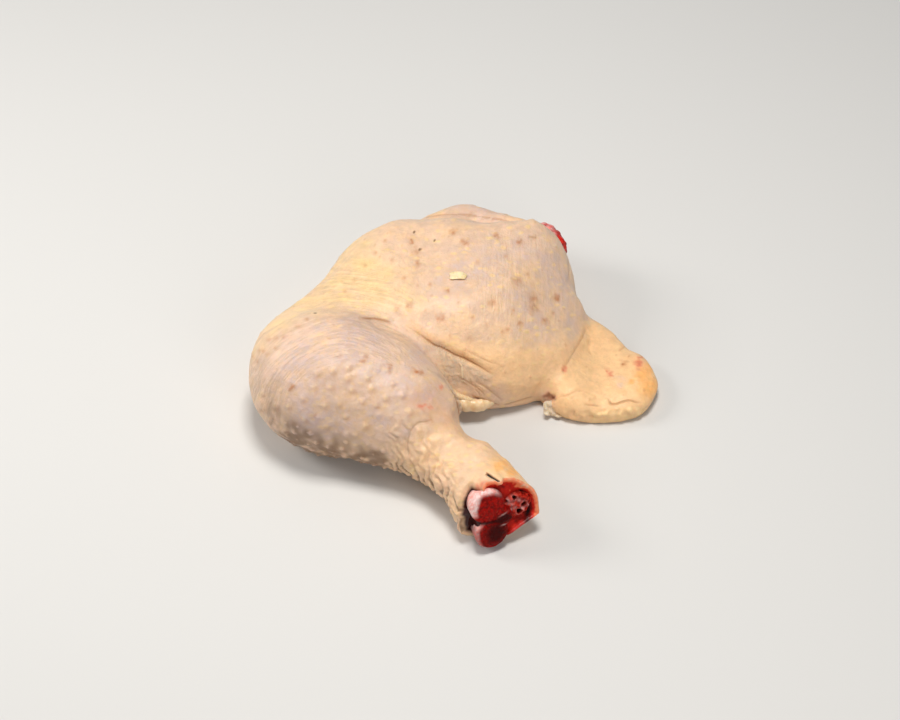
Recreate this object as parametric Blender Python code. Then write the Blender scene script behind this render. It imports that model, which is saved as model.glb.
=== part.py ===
"""Raw chicken leg, thigh and drumstick in one skin, lying on its flat side.

The drumstick folds under the thigh and points at the viewer, with its hock cut off.
Shapes are drawn in units of about 0.9 mm and built in metres, +Z up, on the floor z = 0.
The outside is where a smooth union of simple bodies ends: a row of balls down the drumstick,
and flat pillows over the outlines of the thigh and of its loose flap of skin.
"""
import bmesh
import bpy
import numpy as np

LEG_ACROSS = 0.156           # the real size from the hip's back edge to the hock
UNIT = LEG_ACROSS / 172.9    # a unit of the drawing, in which all sizes below are given
CENTRE = (1.35, 4.5)         # middle of the leg's box in the drawing's plan
FIT_GAP = 0.4                # between a seated piece and its socket

# The drumstick: balls down its length, as x, y, z and radius
DRUMSTICK = [
    (-60, 6, 21, 18.5),
    (-58.5, -4, 23, 24),
    (-52, -12.5, 24.5, 28.5),
    (-37, -18, 24, 27),
    (-24, -25, 22.5, 23.8),
    (-12, -34.5, 18.5, 18.2),
    (-2, -45, 15.5, 14.8),
    (6, -53.5, 15, 14.6),
    (12.5, -62, 14.5, 14.7),
    (19.5, -74, 14.2, 15.6),
]
# The thigh, seen from above, from the notch beside the flap round to the hip
THIGH_OUTLINE = [
    (38, -3), (28, -7.5), (14, -9.5), (0, -10), (-20, -12), (-48, -14), (-68, -8), (-78, 8),
    (-72, 26), (-59, 44), (-49, 63), (-33, 77), (-15, 81), (2, 80), (20, 78), (33, 77.5), (42, 76),
    (49.5, 69), (53, 58), (54, 46), (57, 34), (50, 8),
]
THIGH_RIM = 9                # height of the thigh's widest line
THIGH_TOP = 43
TOP_FALL_RIGHT = 11          # how much lower its top is towards the flap and towards the knee
TOP_FALL_LEFT = 3
THIGH_SHOULDER = 42          # how far in from the outline it is still rising
SHOULDER_LESS_FRONT = 18     # and by how much less at the front and at the hip
SHOULDER_LESS_HIP = 30
# The loose flap of skin at the right
FLAP_OUTLINE = [
    (37, -1), (44, -11), (60, -15), (78, -11), (85.5, 3), (81.5, 16.5), (74, 23), (66, 34.5), (55, 44),
    (44, 40), (38, 20),
]
FLAP_RIM = 5
FLAP_TOP = 9.5
FLAP_RISE = 4                # how much higher its top is where it meets the thigh
FLAP_SHOULDER = 9
KNEE_BLEND = 8               # widths of the soft valleys between the bodies
FLAP_BLEND = 5
ROLL_BLEND = 3
# The rolled edge of skin behind the thigh, and the tab of skin that hangs at the hock
BACK_ROLL = [(-16, 77, 24, 3), (-5, 80, 24, 6), (7, 84.5, 22.5, 6.8), (19, 81, 23, 6), (30, 76, 25, 4)]
HOCK_TAB = [(2, -58, 7, 3.4), (3, -65, 7, 4.2), (4.8, -71, 7, 4.5), (7, -75, 8, 4)]

# The middle sheet that the surface is measured from: its inner and outer end and its height,
# in steps from the tip of the flap round the knee to the hock
MIDDLE = [
    (77, -4, 76, 8, 5),
    (65, -8, 66, 17, 6),
    (53, -5, 55, 31, 8),
    (43, 2, 46, 47, 11),
    (33, 4, 41, 63, 14),
    (22, 3, 25, 70, 15),
    (10, 1, 3, 70, 16),
    (2, -1, -18, 63, 17),
    (-4, -2, -36, 51, 18),
    (-8, -5, -54, 32, 20),
    (-10, -9, -64, 12, 21),
    (-10, -13, -64, -7, 23),
    (-11, -17, -53, -19, 23),
    (-13, -20, -40, -27, 22.5),
    (-14, -24, -28, -32, 21),
    (-9, -31, -17, -38, 18),
    (1, -42, -5, -47.5, 15.5),
    (9, -52, 3, -56, 15),
    (15, -61, 8.5, -64, 14.5),
    (23.7, -71.7, 17.3, -74.7, 14.2),
]
FLAP_AXIS = (0.993, -0.119, 0)
STEPS = 78                   # rings from the flap to the hock
TIP_STEPS = 5                # rings that close the tip of the flap
RING_TOP = 20                # points of a ring: across the top, round each end and below
RING_END = 8
RING_BELOW = 8
SQUARE_TO_EDGE = 0.6         # share by which a ray at an end leaves square to the sheet's edge
FIRST_REACH, LAST_REACH = 4, 60
REACHES = 15                 # tries along a ray before the halving, and the halvings
HALVINGS = 9
ON_FLOOR = 0.02              # points lower than this rest on the floor

# The cut at the hock: its middle, the way it faces and its own directions
CUT_CENTRE = np.array([20.5, -73.2, 14.2])
CUT_TILT = np.radians(20)
HOCK_WAY = (0.42, -0.908)    # the way the hock points, seen from above
CUT_OUT = np.array([HOCK_WAY[0] * np.cos(CUT_TILT), HOCK_WAY[1] * np.cos(CUT_TILT), np.sin(CUT_TILT)])
CUT_SIDE = np.array([-HOCK_WAY[1], HOCK_WAY[0], 0])
CUT_UP = np.cross(CUT_OUT, CUT_SIDE)

SIDES = 20                   # sides of the bone, the tendons and the flesh
PAST_CUT = 3                 # how far a socket's cutter stands out of the cut

# The shin bone: depth behind the cut, size against its two-lobed end, and roundness
BONE_AT_CUT = (-6.5, 0)      # along the cut's side and up directions
BONE_WAIST = 5
BONE_LOBES = 6.7
BONE_SHAFT = 8.8
BONE_STEPS = [
    (0, 1, 0),
    (4, 1, 0),
    (10, 0.86, 0.3),
    (18, 0.6, 0.9),
    (30, 0.5, 1),
    (55, 0.5, 1),
    (72, 0.62, 1),
    (78, 0.45, 1),
]
BONE_FAR_END = np.array([-34, -19, 22])

# The bundle of tendons: depth as a share of its whole depth, and size as a share of its radius
TENDONS_AT_CUT = (6.4, 2)
TENDONS_RADIUS = 5.2
TENDONS_DEPTH = 11
TENDONS_WAVE = 0.06
TENDON_STEPS = [(0, 1), (0.7, 0.95), (0.9, 0.75), (1, 0.35)]
TENDON_HOLES = [(-2.6, 1.8, 1.1), (0.6, 3, 0.9), (2.6, -0.6, 1.1), (0.2, -2.6, 1.2)]
HOLE_DEPTH = 2.5
HOLE_SIDES = 8
HOLE_START = 2               # how far out of the cut a hole's cutter starts

# The strip of flesh that shows at the hip
FLESH_CENTRE = (43, 72, 20.5)
FLESH_SIZE = (11.5, 5.4, 8.5)
FLESH_TURN = np.radians(-50)
FLESH_WAVE = 0.05
FLESH_RISES = (-75, -50, -25, 0, 25, 50, 75)

SKIN_LOOK = (0.83, 0.62, 0.40), 0.4
BONE_LOOK = (0.45, 0.05, 0.04), 0.35
TENDON_LOOK = (0.72, 0.30, 0.27), 0.35
FLESH_LOOK = (0.55, 0.04, 0.03), 0.3
CUTTER_LOOK = (1, 1, 1), 1


def remove_old_objects():
    """Start from an empty scene."""
    for item in list(bpy.data.objects):
        bpy.data.objects.remove(item, do_unlink=True)


def spline(points, count, closed=False):
    """A smooth curve through the points."""
    points = np.asarray(points, float)
    if closed:
        padded = np.vstack([points[-1], points, points[0], points[1]])
        spans = len(points)
    else:
        padded = np.vstack([2 * points[0] - points[1], points, 2 * points[-1] - points[-2]])
        spans = len(points) - 1
    along = np.linspace(0, spans, count, endpoint=not closed)
    span = np.minimum(along.astype(int), spans - 1)
    t = (along - span)[:, None]
    a, b, c, d = (padded[span + k] for k in range(4))
    return 0.5 * (2 * b + (c - a) * t + (2 * a - 5 * b + 4 * c - d) * t**2 + (3 * b - 3 * c + d - a) * t**3)


def ease(value, start, end):
    """0 before start, 1 after end and smooth between."""
    t = np.clip((value - start) / (end - start), 0, 1)
    return t * t * (3 - 2 * t)


def smooth_union(a, b, blend):
    """Two bodies joined with a soft valley between them."""
    t = np.clip(0.5 + 0.5 * (b - a) / blend, 0, 1)
    return b * (1 - t) + a * t - blend * t * (1 - t)


def balls(points, row):
    """How far points lie outside a row of balls."""
    apart = np.sqrt(sum((points[:, k:k + 1] - row[None, :, k])**2 for k in range(3)))
    return (apart - row[None, :, 3]).min(1)


def inset(points, outline):
    """How far points lie inside an outline, seen from above."""
    start = outline
    end = np.roll(outline, -1, 0)
    run = end - start
    dx = points[:, 0:1] - start[None, :, 0]
    dy = points[:, 1:2] - start[None, :, 1]
    t = np.clip((dx * run[:, 0] + dy * run[:, 1]) / (run**2).sum(1), 0, 1)
    apart = np.sqrt(((dx - t * run[:, 0])**2 + (dy - t * run[:, 1])**2).min(1))
    crosses = (start[:, 1] <= points[:, 1:2]) != (end[:, 1] <= points[:, 1:2])
    rise = np.where(run[:, 1] == 0, 1e-9, run[:, 1])
    left_of = points[:, 0:1] < start[:, 0] + dy * run[:, 0] / rise
    within = (crosses & left_of).sum(1) % 2 == 1
    return np.where(within, apart, -apart)


def pillow(points, outline, rim, top, shoulder, low=-3, underside=10):
    """How far points lie outside a body over an outline, rounded above and below its rim."""
    depth = inset(points, outline)
    rise = points[:, 2] - rim
    reach = np.where(rise > 0, shoulder, underside)
    height = np.where(rise > 0, top - rim, rim - low)
    across = np.maximum(1 - depth / reach, 0)
    upward = rise / height
    radius = np.sqrt(across**2 + upward**2)
    slope = np.sqrt((across / reach)**2 + (upward / height)**2)
    return (radius - 1) * radius / np.maximum(slope, 1e-4)


def outside(points, bodies):
    """How far points lie outside the leg, flattened where it rests on the floor."""
    drumstick, thigh, flap, roll, tab = bodies
    x, y, z = points.T
    top = THIGH_TOP - TOP_FALL_RIGHT * ease(x, 8, 60) - TOP_FALL_LEFT * ease(-x, 30, 75)
    to_right = ease(x, 5, 40)
    less_front = SHOULDER_LESS_FRONT * ease(y, -5, 40) * (1 - to_right)
    less_hip = SHOULDER_LESS_HIP * to_right * ease(y, 20, 65)
    flap_top = FLAP_TOP + FLAP_RISE * ease(-x, -62, -45)
    main = pillow(points, thigh, THIGH_RIM, top, THIGH_SHOULDER - less_front - less_hip)
    body = smooth_union(main, balls(points, drumstick), KNEE_BLEND)
    loose = pillow(points, flap, FLAP_RIM, flap_top, FLAP_SHOULDER, underside=FLAP_RIM)
    body = smooth_union(body, loose, FLAP_BLEND)
    body = smooth_union(body, balls(points, roll), ROLL_BLEND)
    body = smooth_union(body, balls(points, tab), ROLL_BLEND)
    return np.maximum(body, -z)


def unit(vectors):
    """Vectors at length 1."""
    return vectors / np.linalg.norm(vectors, axis=-1, keepdims=True)


def leg_rings():
    """Rings of points round the leg, from the flap's tip to the hock.

    A ring runs over the top, round the inner end of the middle sheet, below and round its outer end.
    Each point lies where a ray from the sheet leaves the body.
    """
    sheet = spline(MIDDLE, STEPS)
    inner, outer, height = sheet[:, 0:2], sheet[:, 2:4], sheet[:, 4]
    across = unit(outer - inner)
    near_hock = ease(np.linspace(0, 1, STEPS), 0.9, 1)[:, None]
    turned_in = np.gradient(inner, axis=0)[:, ::-1] * (-1, 1)
    turned_out = np.gradient(outer, axis=0)[:, ::-1] * (1, -1)
    square = SQUARE_TO_EDGE * (1 - near_hock)
    inward = unit(unit(turned_in) * square - across * (1 - square))
    outward = unit(unit(turned_out) * square + across * (1 - square))
    tilt = near_hock * CUT_TILT
    up = np.hstack([-HOCK_WAY[0] * np.sin(tilt), -HOCK_WAY[1] * np.sin(tilt), np.cos(tilt)])

    end = np.pi * np.arange(RING_END) / RING_END
    none_top, none_end, none_below = np.zeros(RING_TOP), np.zeros(RING_END), np.zeros(RING_BELOW)
    place = np.concatenate([1 - np.arange(RING_TOP) / RING_TOP, none_end, np.arange(RING_BELOW) / RING_BELOW,
                            none_end + 1])
    rise = np.concatenate([none_top + 1, np.cos(end), none_below - 1, -np.cos(end)])
    to_inner = np.concatenate([none_top, np.sin(end), none_below, none_end])
    to_outer = np.concatenate([none_top, none_end, none_below, np.sin(end)])

    flat = inner[:, None] + (outer - inner)[:, None] * place[None, :, None]
    start = np.dstack([flat, np.broadcast_to(height[:, None], flat.shape[:2])])
    side = inward[:, None] * to_inner[None, :, None] + outward[:, None] * to_outer[None, :, None]
    ray = np.dstack([side, np.zeros(flat.shape[:2])]) + up[:, None] * rise[None, :, None]

    turn = np.pi / 2 * (1 - np.arange(TIP_STEPS) / TIP_STEPS)[:, None, None]
    middle = start[0].mean(0)
    tip_start = middle + (start[0] - middle) * np.cos(turn)
    tip_ray = ray[0] * np.cos(turn) + np.array(FLAP_AXIS) * np.sin(turn)
    start = np.concatenate([tip_start, start])
    ray = unit(np.concatenate([tip_ray, ray]))

    shape = start.shape
    start, ray = start.reshape(-1, 3), ray.reshape(-1, 3)
    bodies = (spline(DRUMSTICK, 110), spline(THIGH_OUTLINE, 90, True), spline(FLAP_OUTLINE, 60, True),
              spline(BACK_ROLL, 24), spline(HOCK_TAB, 12))
    near, far = np.zeros(len(start)), np.full(len(start), LAST_REACH * 1.1)
    inside = np.ones(len(start), bool)
    for reach in np.linspace(FIRST_REACH, LAST_REACH, REACHES):
        out = outside(start + ray * reach, bodies) > 0
        far[inside & out] = reach
        inside &= ~out
        near[inside] = reach
    for _ in range(HALVINGS):
        halfway = (near + far) / 2
        out = outside(start + ray * halfway[:, None], bodies) > 0
        far = np.where(out, halfway, far)
        near = np.where(out, near, halfway)
    points = start + ray * ((near + far) / 2)[:, None]
    points[points[:, 2] < ON_FLOOR, 2] = 0
    return points.reshape(shape)


def to_scene(points):
    """Drawing units to metres about the middle of the leg's box."""
    return (np.asarray(points, float) - (*CENTRE, 0)) * UNIT


def closed_tube(name, rings, look):
    """One closed mesh from rings of points, with a flat face at each end, and its plain colour."""
    mesh = bpy.data.meshes.new(name)
    bm = bmesh.new()
    loops = [[bm.verts.new(point) for point in to_scene(ring)] for ring in rings]
    count = len(loops[0])
    for first, second in zip(loops, loops[1:]):
        for k in range(count):
            bm.faces.new((first[k], second[k], second[k - 1]))
            bm.faces.new((first[k], second[k - 1], first[k - 1]))
    bm.faces.new(loops[0])
    bm.faces.new(loops[-1][::-1])
    bmesh.ops.remove_doubles(bm, verts=bm.verts, dist=0.01 * UNIT)
    bmesh.ops.recalc_face_normals(bm, faces=bm.faces)
    bmesh.ops.triangulate(bm, faces=bm.faces)
    bm.to_mesh(mesh)
    bm.free()
    mesh.shade_smooth()
    piece = bpy.data.objects.new(name, mesh)
    bpy.context.scene.collection.objects.link(piece)
    material = bpy.data.materials.new(name)
    material.use_nodes = True
    shader = material.node_tree.nodes["Principled BSDF"]
    colour, roughness = look
    shader.inputs["Base Color"].default_value = (*colour, 1)
    shader.inputs["Roughness"].default_value = roughness
    mesh.materials.append(material)
    return piece


def as_cutter(piece):
    """Hide a piece that only cuts."""
    piece.hide_render = True
    piece.display_type = "WIRE"
    return piece


def cut(piece, cutter):
    """Take the cutter out of a piece."""
    modifier = piece.modifiers.new("cut " + cutter.name, "BOOLEAN")
    modifier.operation = "DIFFERENCE"
    modifier.object = as_cutter(cutter)


def at_cut(side, up, depth=0):
    """A point on the cut face, or so far behind it."""
    return CUT_CENTRE + CUT_SIDE * side + CUT_UP * up - CUT_OUT * depth


def bone_rings(grow=0.0, stand_out=0.0):
    """Rings down the shin bone: two lobes at the hock that narrow to a round shaft."""
    angle = np.linspace(0, 2 * np.pi, SIDES, endpoint=False)
    lobes = BONE_WAIST + BONE_LOBES * np.sin(angle)**2
    start = at_cut(*BONE_AT_CUT)
    length = BONE_STEPS[-1][0]
    rings = []
    for depth, size, roundness in BONE_STEPS:
        centre = start + (BONE_FAR_END - start) * (depth or -stand_out) / length
        radius = size * (lobes * (1 - roundness) + BONE_SHAFT * roundness) + grow
        across = CUT_SIDE * (np.cos(angle) * radius)[:, None]
        rings.append(centre + across + CUT_UP * (np.sin(angle) * radius)[:, None])
    rings[-1] = rings[-1] - CUT_OUT * grow
    return rings


def tendon_rings(grow=0.0, stand_out=0.0):
    """Rings of the bundle of tendons, a short slug with a domed back."""
    angle = np.linspace(0, 2 * np.pi, SIDES, endpoint=False)
    rings = []
    for share, size in TENDON_STEPS:
        radius = TENDONS_RADIUS * size * (1 + TENDONS_WAVE * np.sin(3 * angle)) + grow
        depth = (TENDONS_DEPTH + grow) * share or -stand_out
        side = TENDONS_AT_CUT[0] + np.cos(angle) * radius
        rise = TENDONS_AT_CUT[1] + np.sin(angle) * radius
        rings.append(np.array([at_cut(a, b, depth) for a, b in zip(side, rise)]))
    return rings


def hole_rings(side, up, radius):
    """Two rings that cut a round hole into the tendons."""
    angle = np.linspace(0, 2 * np.pi, HOLE_SIDES, endpoint=False)
    across = TENDONS_AT_CUT[0] + side + radius * np.cos(angle)
    rise = TENDONS_AT_CUT[1] + up + radius * np.sin(angle)
    depths = (-HOLE_START, HOLE_DEPTH)
    return [np.array([at_cut(a, b, depth) for a, b in zip(across, rise)]) for depth in depths]


def flesh_rings(grow=0.0):
    """Rings of the lump of flesh that shows at the hip."""
    size = np.array(FLESH_SIZE) + grow
    turn = np.array([[np.cos(FLESH_TURN), -np.sin(FLESH_TURN)], [np.sin(FLESH_TURN), np.cos(FLESH_TURN)]])
    angle = np.linspace(0, 2 * np.pi, SIDES, endpoint=False)
    rings = []
    for rise in np.radians(FLESH_RISES):
        girth = np.cos(rise) * (1 + FLESH_WAVE * np.sin(3 * angle + 2 * rise))
        plan = np.stack([np.cos(angle) * girth * size[0], np.sin(angle) * girth * size[1]], 1)
        height = np.full(len(angle), np.sin(rise) * size[2])
        rings.append(np.column_stack([plan @ turn.T, height]) + FLESH_CENTRE)
    return rings


def build():
    """The leg and the pieces that show in it."""
    remove_old_objects()
    leg = closed_tube("leg", leg_rings(), SKIN_LOOK)
    closed_tube("shin_bone", bone_rings(), BONE_LOOK)
    tendons = closed_tube("tendons", tendon_rings(), TENDON_LOOK)
    closed_tube("hip_flesh", flesh_rings(), FLESH_LOOK)

    cut(leg, closed_tube("bone_socket", bone_rings(FIT_GAP, PAST_CUT), CUTTER_LOOK))
    cut(leg, closed_tube("tendon_socket", tendon_rings(FIT_GAP, PAST_CUT), CUTTER_LOOK))
    cut(leg, closed_tube("flesh_pocket", flesh_rings(FIT_GAP), CUTTER_LOOK))
    for number, (side, up, radius) in enumerate(TENDON_HOLES):
        cut(tendons, closed_tube(f"tendon_hole_{number}", hole_rings(side, up, radius), CUTTER_LOOK))


build()
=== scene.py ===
"""A raw chicken leg, thigh and drumstick in one skin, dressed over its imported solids.

Shapes are worked out in the drawing's units of about 0.9 mm and put into metres with UNIT and CENTRE.
"""

import bpy
import numpy as np
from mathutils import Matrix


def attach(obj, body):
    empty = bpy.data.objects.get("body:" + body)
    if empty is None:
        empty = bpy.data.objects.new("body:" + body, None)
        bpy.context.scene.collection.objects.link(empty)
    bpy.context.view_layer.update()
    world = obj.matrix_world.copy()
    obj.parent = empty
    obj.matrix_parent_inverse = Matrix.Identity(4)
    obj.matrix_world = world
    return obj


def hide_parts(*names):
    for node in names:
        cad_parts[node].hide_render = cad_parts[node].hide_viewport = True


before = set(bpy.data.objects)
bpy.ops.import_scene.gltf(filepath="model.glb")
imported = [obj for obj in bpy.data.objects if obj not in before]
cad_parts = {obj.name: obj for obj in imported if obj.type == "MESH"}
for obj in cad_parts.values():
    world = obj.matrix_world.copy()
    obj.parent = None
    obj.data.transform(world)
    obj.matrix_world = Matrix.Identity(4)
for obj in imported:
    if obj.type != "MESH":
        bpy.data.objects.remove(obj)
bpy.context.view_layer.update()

# The surface it lies on, the light and the camera.
# The camera looks down at 47 degrees on the side that the hock points to, as in the photograph.
LEG_ACROSS = 0.156
UNIT = LEG_ACROSS / 172.9
CENTRE = np.array([1.35, 4.5, 0])
CAMERA_TILT = np.radians(47)
CAMERA_AWAY = 904 * UNIT
AIM = np.array([-1, 22, 0])
CAMERA_AIM = (AIM - CENTRE) * UNIT
FLOOR_HALF = 1.6
FLOOR_POINTS = 9


def set_up_floor():
    """A flat sheet of pale floor: x and y over a square, z = 0."""
    steps = np.linspace(-FLOOR_HALF, FLOOR_HALF, FLOOR_POINTS)
    across, along = np.meshgrid(steps, steps)
    points = np.stack([across, along, np.zeros_like(across)], -1).reshape(-1, 3)
    cells = np.arange(FLOOR_POINTS - 1)
    corner = (cells[:, None] * FLOOR_POINTS + cells).reshape(-1)
    faces = np.stack([corner, corner + 1, corner + FLOOR_POINTS + 1, corner + FLOOR_POINTS], 1)
    mesh = bpy.data.meshes.new("floor")
    mesh.from_pydata(points.tolist(), [], faces.tolist())
    floor = bpy.data.objects.new("floor", mesh)
    bpy.context.scene.collection.objects.link(floor)
    paint = bpy.data.materials.new("pale_floor")
    paint.use_nodes = True
    shader = paint.node_tree.nodes["Principled BSDF"]
    shader.inputs["Base Color"].default_value = (0.66, 0.65, 0.63, 1)
    shader.inputs["Roughness"].default_value = 0.75
    mesh.materials.append(paint)


def add_light(name, place, size, power, colour):
    """A square area light at a place, facing the leg."""
    light = bpy.data.lights.new(name, "AREA")
    light.shape = "SQUARE"
    light.size = size
    light.energy = power
    light.color = colour
    lamp = bpy.data.objects.new(name, light)
    lamp.location = place
    away = np.array(place) - (0, 0, 0.02)
    flat = np.hypot(away[0], away[1])
    lamp.rotation_euler = (np.arctan2(flat, away[2]), 0, np.arctan2(away[0], -away[1]))
    bpy.context.scene.collection.objects.link(lamp)


set_up_floor()
add_light("key", (0.0, 0.0, 0.75), 0.20, 4.15, (1, 0.97, 0.93))
add_light("left", (-0.60, 0.10, 0.42), 0.25, 2.2, (1, 0.98, 0.95))
add_light("front", (0.28, -0.62, 0.36), 0.35, 1.1, (1, 0.97, 0.93))

world = bpy.data.worlds.new("studio")
world.use_nodes = True
world.node_tree.nodes["Background"].inputs["Color"].default_value = (0.9, 0.95, 1, 1)
world.node_tree.nodes["Background"].inputs["Strength"].default_value = 0.25
bpy.context.scene.world = world
bpy.context.scene.view_settings.view_transform = "Standard"

camera_data = bpy.data.cameras.new("camera")
camera_data.lens = 85
camera_data.sensor_width = 36
camera_data.clip_start = 0.01
camera = bpy.data.objects.new("camera", camera_data)
camera.location = CAMERA_AIM + CAMERA_AWAY * np.array([0, -np.cos(CAMERA_TILT), np.sin(CAMERA_TILT)])
camera.rotation_euler = (np.pi / 2 - CAMERA_TILT, 0, 0)
bpy.context.scene.collection.objects.link(camera)
bpy.context.scene.camera = camera


# The leg: skin and fat over the whole thigh and drumstick, one body with its loose flap.
# The skin is moist and thin, yellow over fat, lilac over dark flesh, and pulled into folds at the knee.
DRUMSTICK = [
    (-60, 6, 21, 18.5), (-58.5, -4, 23, 24), (-52, -12.5, 24.5, 28.5), (-37, -18, 24, 27),
    (-24, -25, 22.5, 23.8), (-12, -34.5, 18.5, 18.2), (-2, -45, 15.5, 14.8), (6, -53.5, 15, 14.6),
    (12.5, -62, 14.5, 14.7), (19.5, -74, 14.2, 15.6),
]
THIGH_OUTLINE = [
    (38, -3), (28, -7.5), (14, -9.5), (0, -10), (-20, -12), (-48, -14), (-68, -8), (-78, 8), (-72, 26),
    (-59, 44), (-49, 63), (-33, 77), (-15, 81), (2, 80), (20, 78), (33, 77.5), (42, 76), (49.5, 69),
    (53, 58), (54, 46), (57, 34), (50, 8),
]
FLAP_OUTLINE = [
    (37, -1), (44, -11), (60, -15), (78, -11), (85.5, 3), (81.5, 16.5), (74, 23), (66, 34.5), (55, 44),
    (44, 40), (38, 20),
]
BACK_ROLL = [(-16, 77, 24, 3), (-5, 80, 24, 6), (7, 84.5, 22.5, 6.8), (19, 81, 23, 6), (30, 76, 25, 4)]
HOCK_TAB = [(2, -58, 7, 3.4), (3, -65, 7, 4.2), (4.8, -71, 7, 4.5), (7, -75, 8, 4)]
THIGH_RIM = 9
THIGH_TOP = 43
FLAP_RIM = 5
FLAP_TOP = 9.5
MIDDLE = [
    (77, -4, 76, 8, 5), (65, -8, 66, 17, 6), (53, -5, 55, 31, 8), (43, 2, 46, 47, 11),
    (33, 4, 41, 63, 14), (22, 3, 25, 70, 15), (10, 1, 3, 70, 16), (2, -1, -18, 63, 17),
    (-4, -2, -36, 51, 18), (-8, -5, -54, 32, 20), (-10, -9, -64, 12, 21), (-10, -13, -64, -7, 23),
    (-11, -17, -53, -19, 23), (-13, -20, -40, -27, 22.5), (-14, -24, -28, -32, 21),
    (-9, -31, -17, -38, 18), (1, -42, -5, -47.5, 15.5), (9, -52, 3, -56, 15), (15, -61, 8.5, -64, 14.5),
    (23.7, -71.7, 17.3, -74.7, 14.2),
]
FLAP_AXIS = np.array([0.993, -0.119, 0])
STEPS = 208
TIP_STEPS = 12
RING_POINTS = 100
# the flat underside gets this share of points, against the top
FEWER_BELOW = 0.35

CUT_CENTRE = np.array([20.5, -73.2, 14.2])
CUT_TILT = np.radians(20)
SHANK_EAST = 0.42
SHANK_SOUTH = 0.908
CUT_OUT = np.array([SHANK_EAST * np.cos(CUT_TILT), -SHANK_SOUTH * np.cos(CUT_TILT), np.sin(CUT_TILT)])
CUT_SIDE = np.array([SHANK_SOUTH, SHANK_EAST, 0])
CUT_UP = np.cross(CUT_OUT, CUT_SIDE)


def spline(points, count, closed=False):
    """A smooth curve: each span blends its two points and their neighbours with cubic weights."""
    points = np.asarray(points, float)
    if closed:
        padded = np.vstack([points[-1], points, points[0], points[1]])
        spans = len(points)
    else:
        padded = np.vstack([2 * points[0] - points[1], points, 2 * points[-1] - points[-2]])
        spans = len(points) - 1
    along = np.linspace(0, spans, count, endpoint=not closed)
    span = np.minimum(along.astype(int), spans - 1)
    t = (along - span)[:, None]
    a, b, c, d = (padded[span + k] for k in range(4))
    return 0.5 * (2 * b + (c - a) * t + (2 * a - 5 * b + 4 * c - d) * t**2 + (3 * b - 3 * c + d - a) * t**3)


def ease(value, start, end):
    """0 before start, 1 after end, 3 t squared less 2 t cubed between."""
    t = np.clip((value - start) / (end - start), 0, 1)
    return t * t * (3 - 2 * t)


def smooth_union(a, b, blend):
    """The lesser of two distances, rounded where they differ by less than the blend."""
    t = np.clip(0.5 + 0.5 * (b - a) / blend, 0, 1)
    return b * (1 - t) + a * t - blend * t * (1 - t)


def balls(points, row):
    """How far points lie outside a row of balls: the least of distance less radius."""
    apart = np.sqrt(sum((points[:, k:k + 1] - row[None, :, k])**2 for k in range(3)))
    return (apart - row[None, :, 3]).min(1)


def inset(points, outline):
    """How far points lie inside an outline seen from above: the distance to its nearest side."""
    start = outline
    end = np.roll(outline, -1, 0)
    run = end - start
    dx = points[:, 0:1] - start[None, :, 0]
    dy = points[:, 1:2] - start[None, :, 1]
    t = np.clip((dx * run[:, 0] + dy * run[:, 1]) / (run**2).sum(1), 0, 1)
    apart = np.sqrt(((dx - t * run[:, 0])**2 + (dy - t * run[:, 1])**2).min(1))
    crosses = (start[:, 1] <= points[:, 1:2]) != (end[:, 1] <= points[:, 1:2])
    rise = np.where(run[:, 1] == 0, 1e-9, run[:, 1])
    left_of = points[:, 0:1] < start[:, 0] + dy * run[:, 0] / rise
    within = (crosses & left_of).sum(1) % 2 == 1
    return np.where(within, apart, -apart)


def pillow(points, outline, rim, top, shoulder, low=-3, underside=10):
    """How far points lie outside a quarter-ellipse section that follows an outline."""
    depth = inset(points, outline)
    rise = points[:, 2] - rim
    reach = np.where(rise > 0, shoulder, underside)
    height = np.where(rise > 0, top - rim, rim - low)
    across = np.maximum(1 - depth / reach, 0)
    upward = rise / height
    radius = np.sqrt(across**2 + upward**2)
    slope = np.sqrt((across / reach)**2 + (upward / height)**2)
    return (radius - 1) * radius / np.maximum(slope, 1e-4)


def outside(points, bodies):
    """How far points lie outside the leg: the smooth union of its bodies, cut off at the floor."""
    drumstick, thigh, flap, roll, tab = bodies
    x, y, z = points.T
    top = THIGH_TOP - 11 * ease(x, 8, 60) - 3 * ease(-x, 30, 75)
    shoulder = 42 - 18 * ease(y, -5, 40) * (1 - ease(x, 5, 40)) - 30 * ease(x, 5, 40) * ease(y, 20, 65)
    flap_top = FLAP_TOP + 4 * ease(-x, -62, -45)
    body = smooth_union(pillow(points, thigh, THIGH_RIM, top, shoulder), balls(points, drumstick), 8)
    body = smooth_union(body, pillow(points, flap, FLAP_RIM, flap_top, 9, underside=5), 5)
    body = smooth_union(body, balls(points, roll), 3)
    body = smooth_union(body, balls(points, tab), 3)
    return np.maximum(body, -z)


def unit(vectors):
    """Vectors at length 1."""
    return vectors / np.maximum(np.linalg.norm(vectors, axis=-1, keepdims=True), 1e-9)


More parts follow.
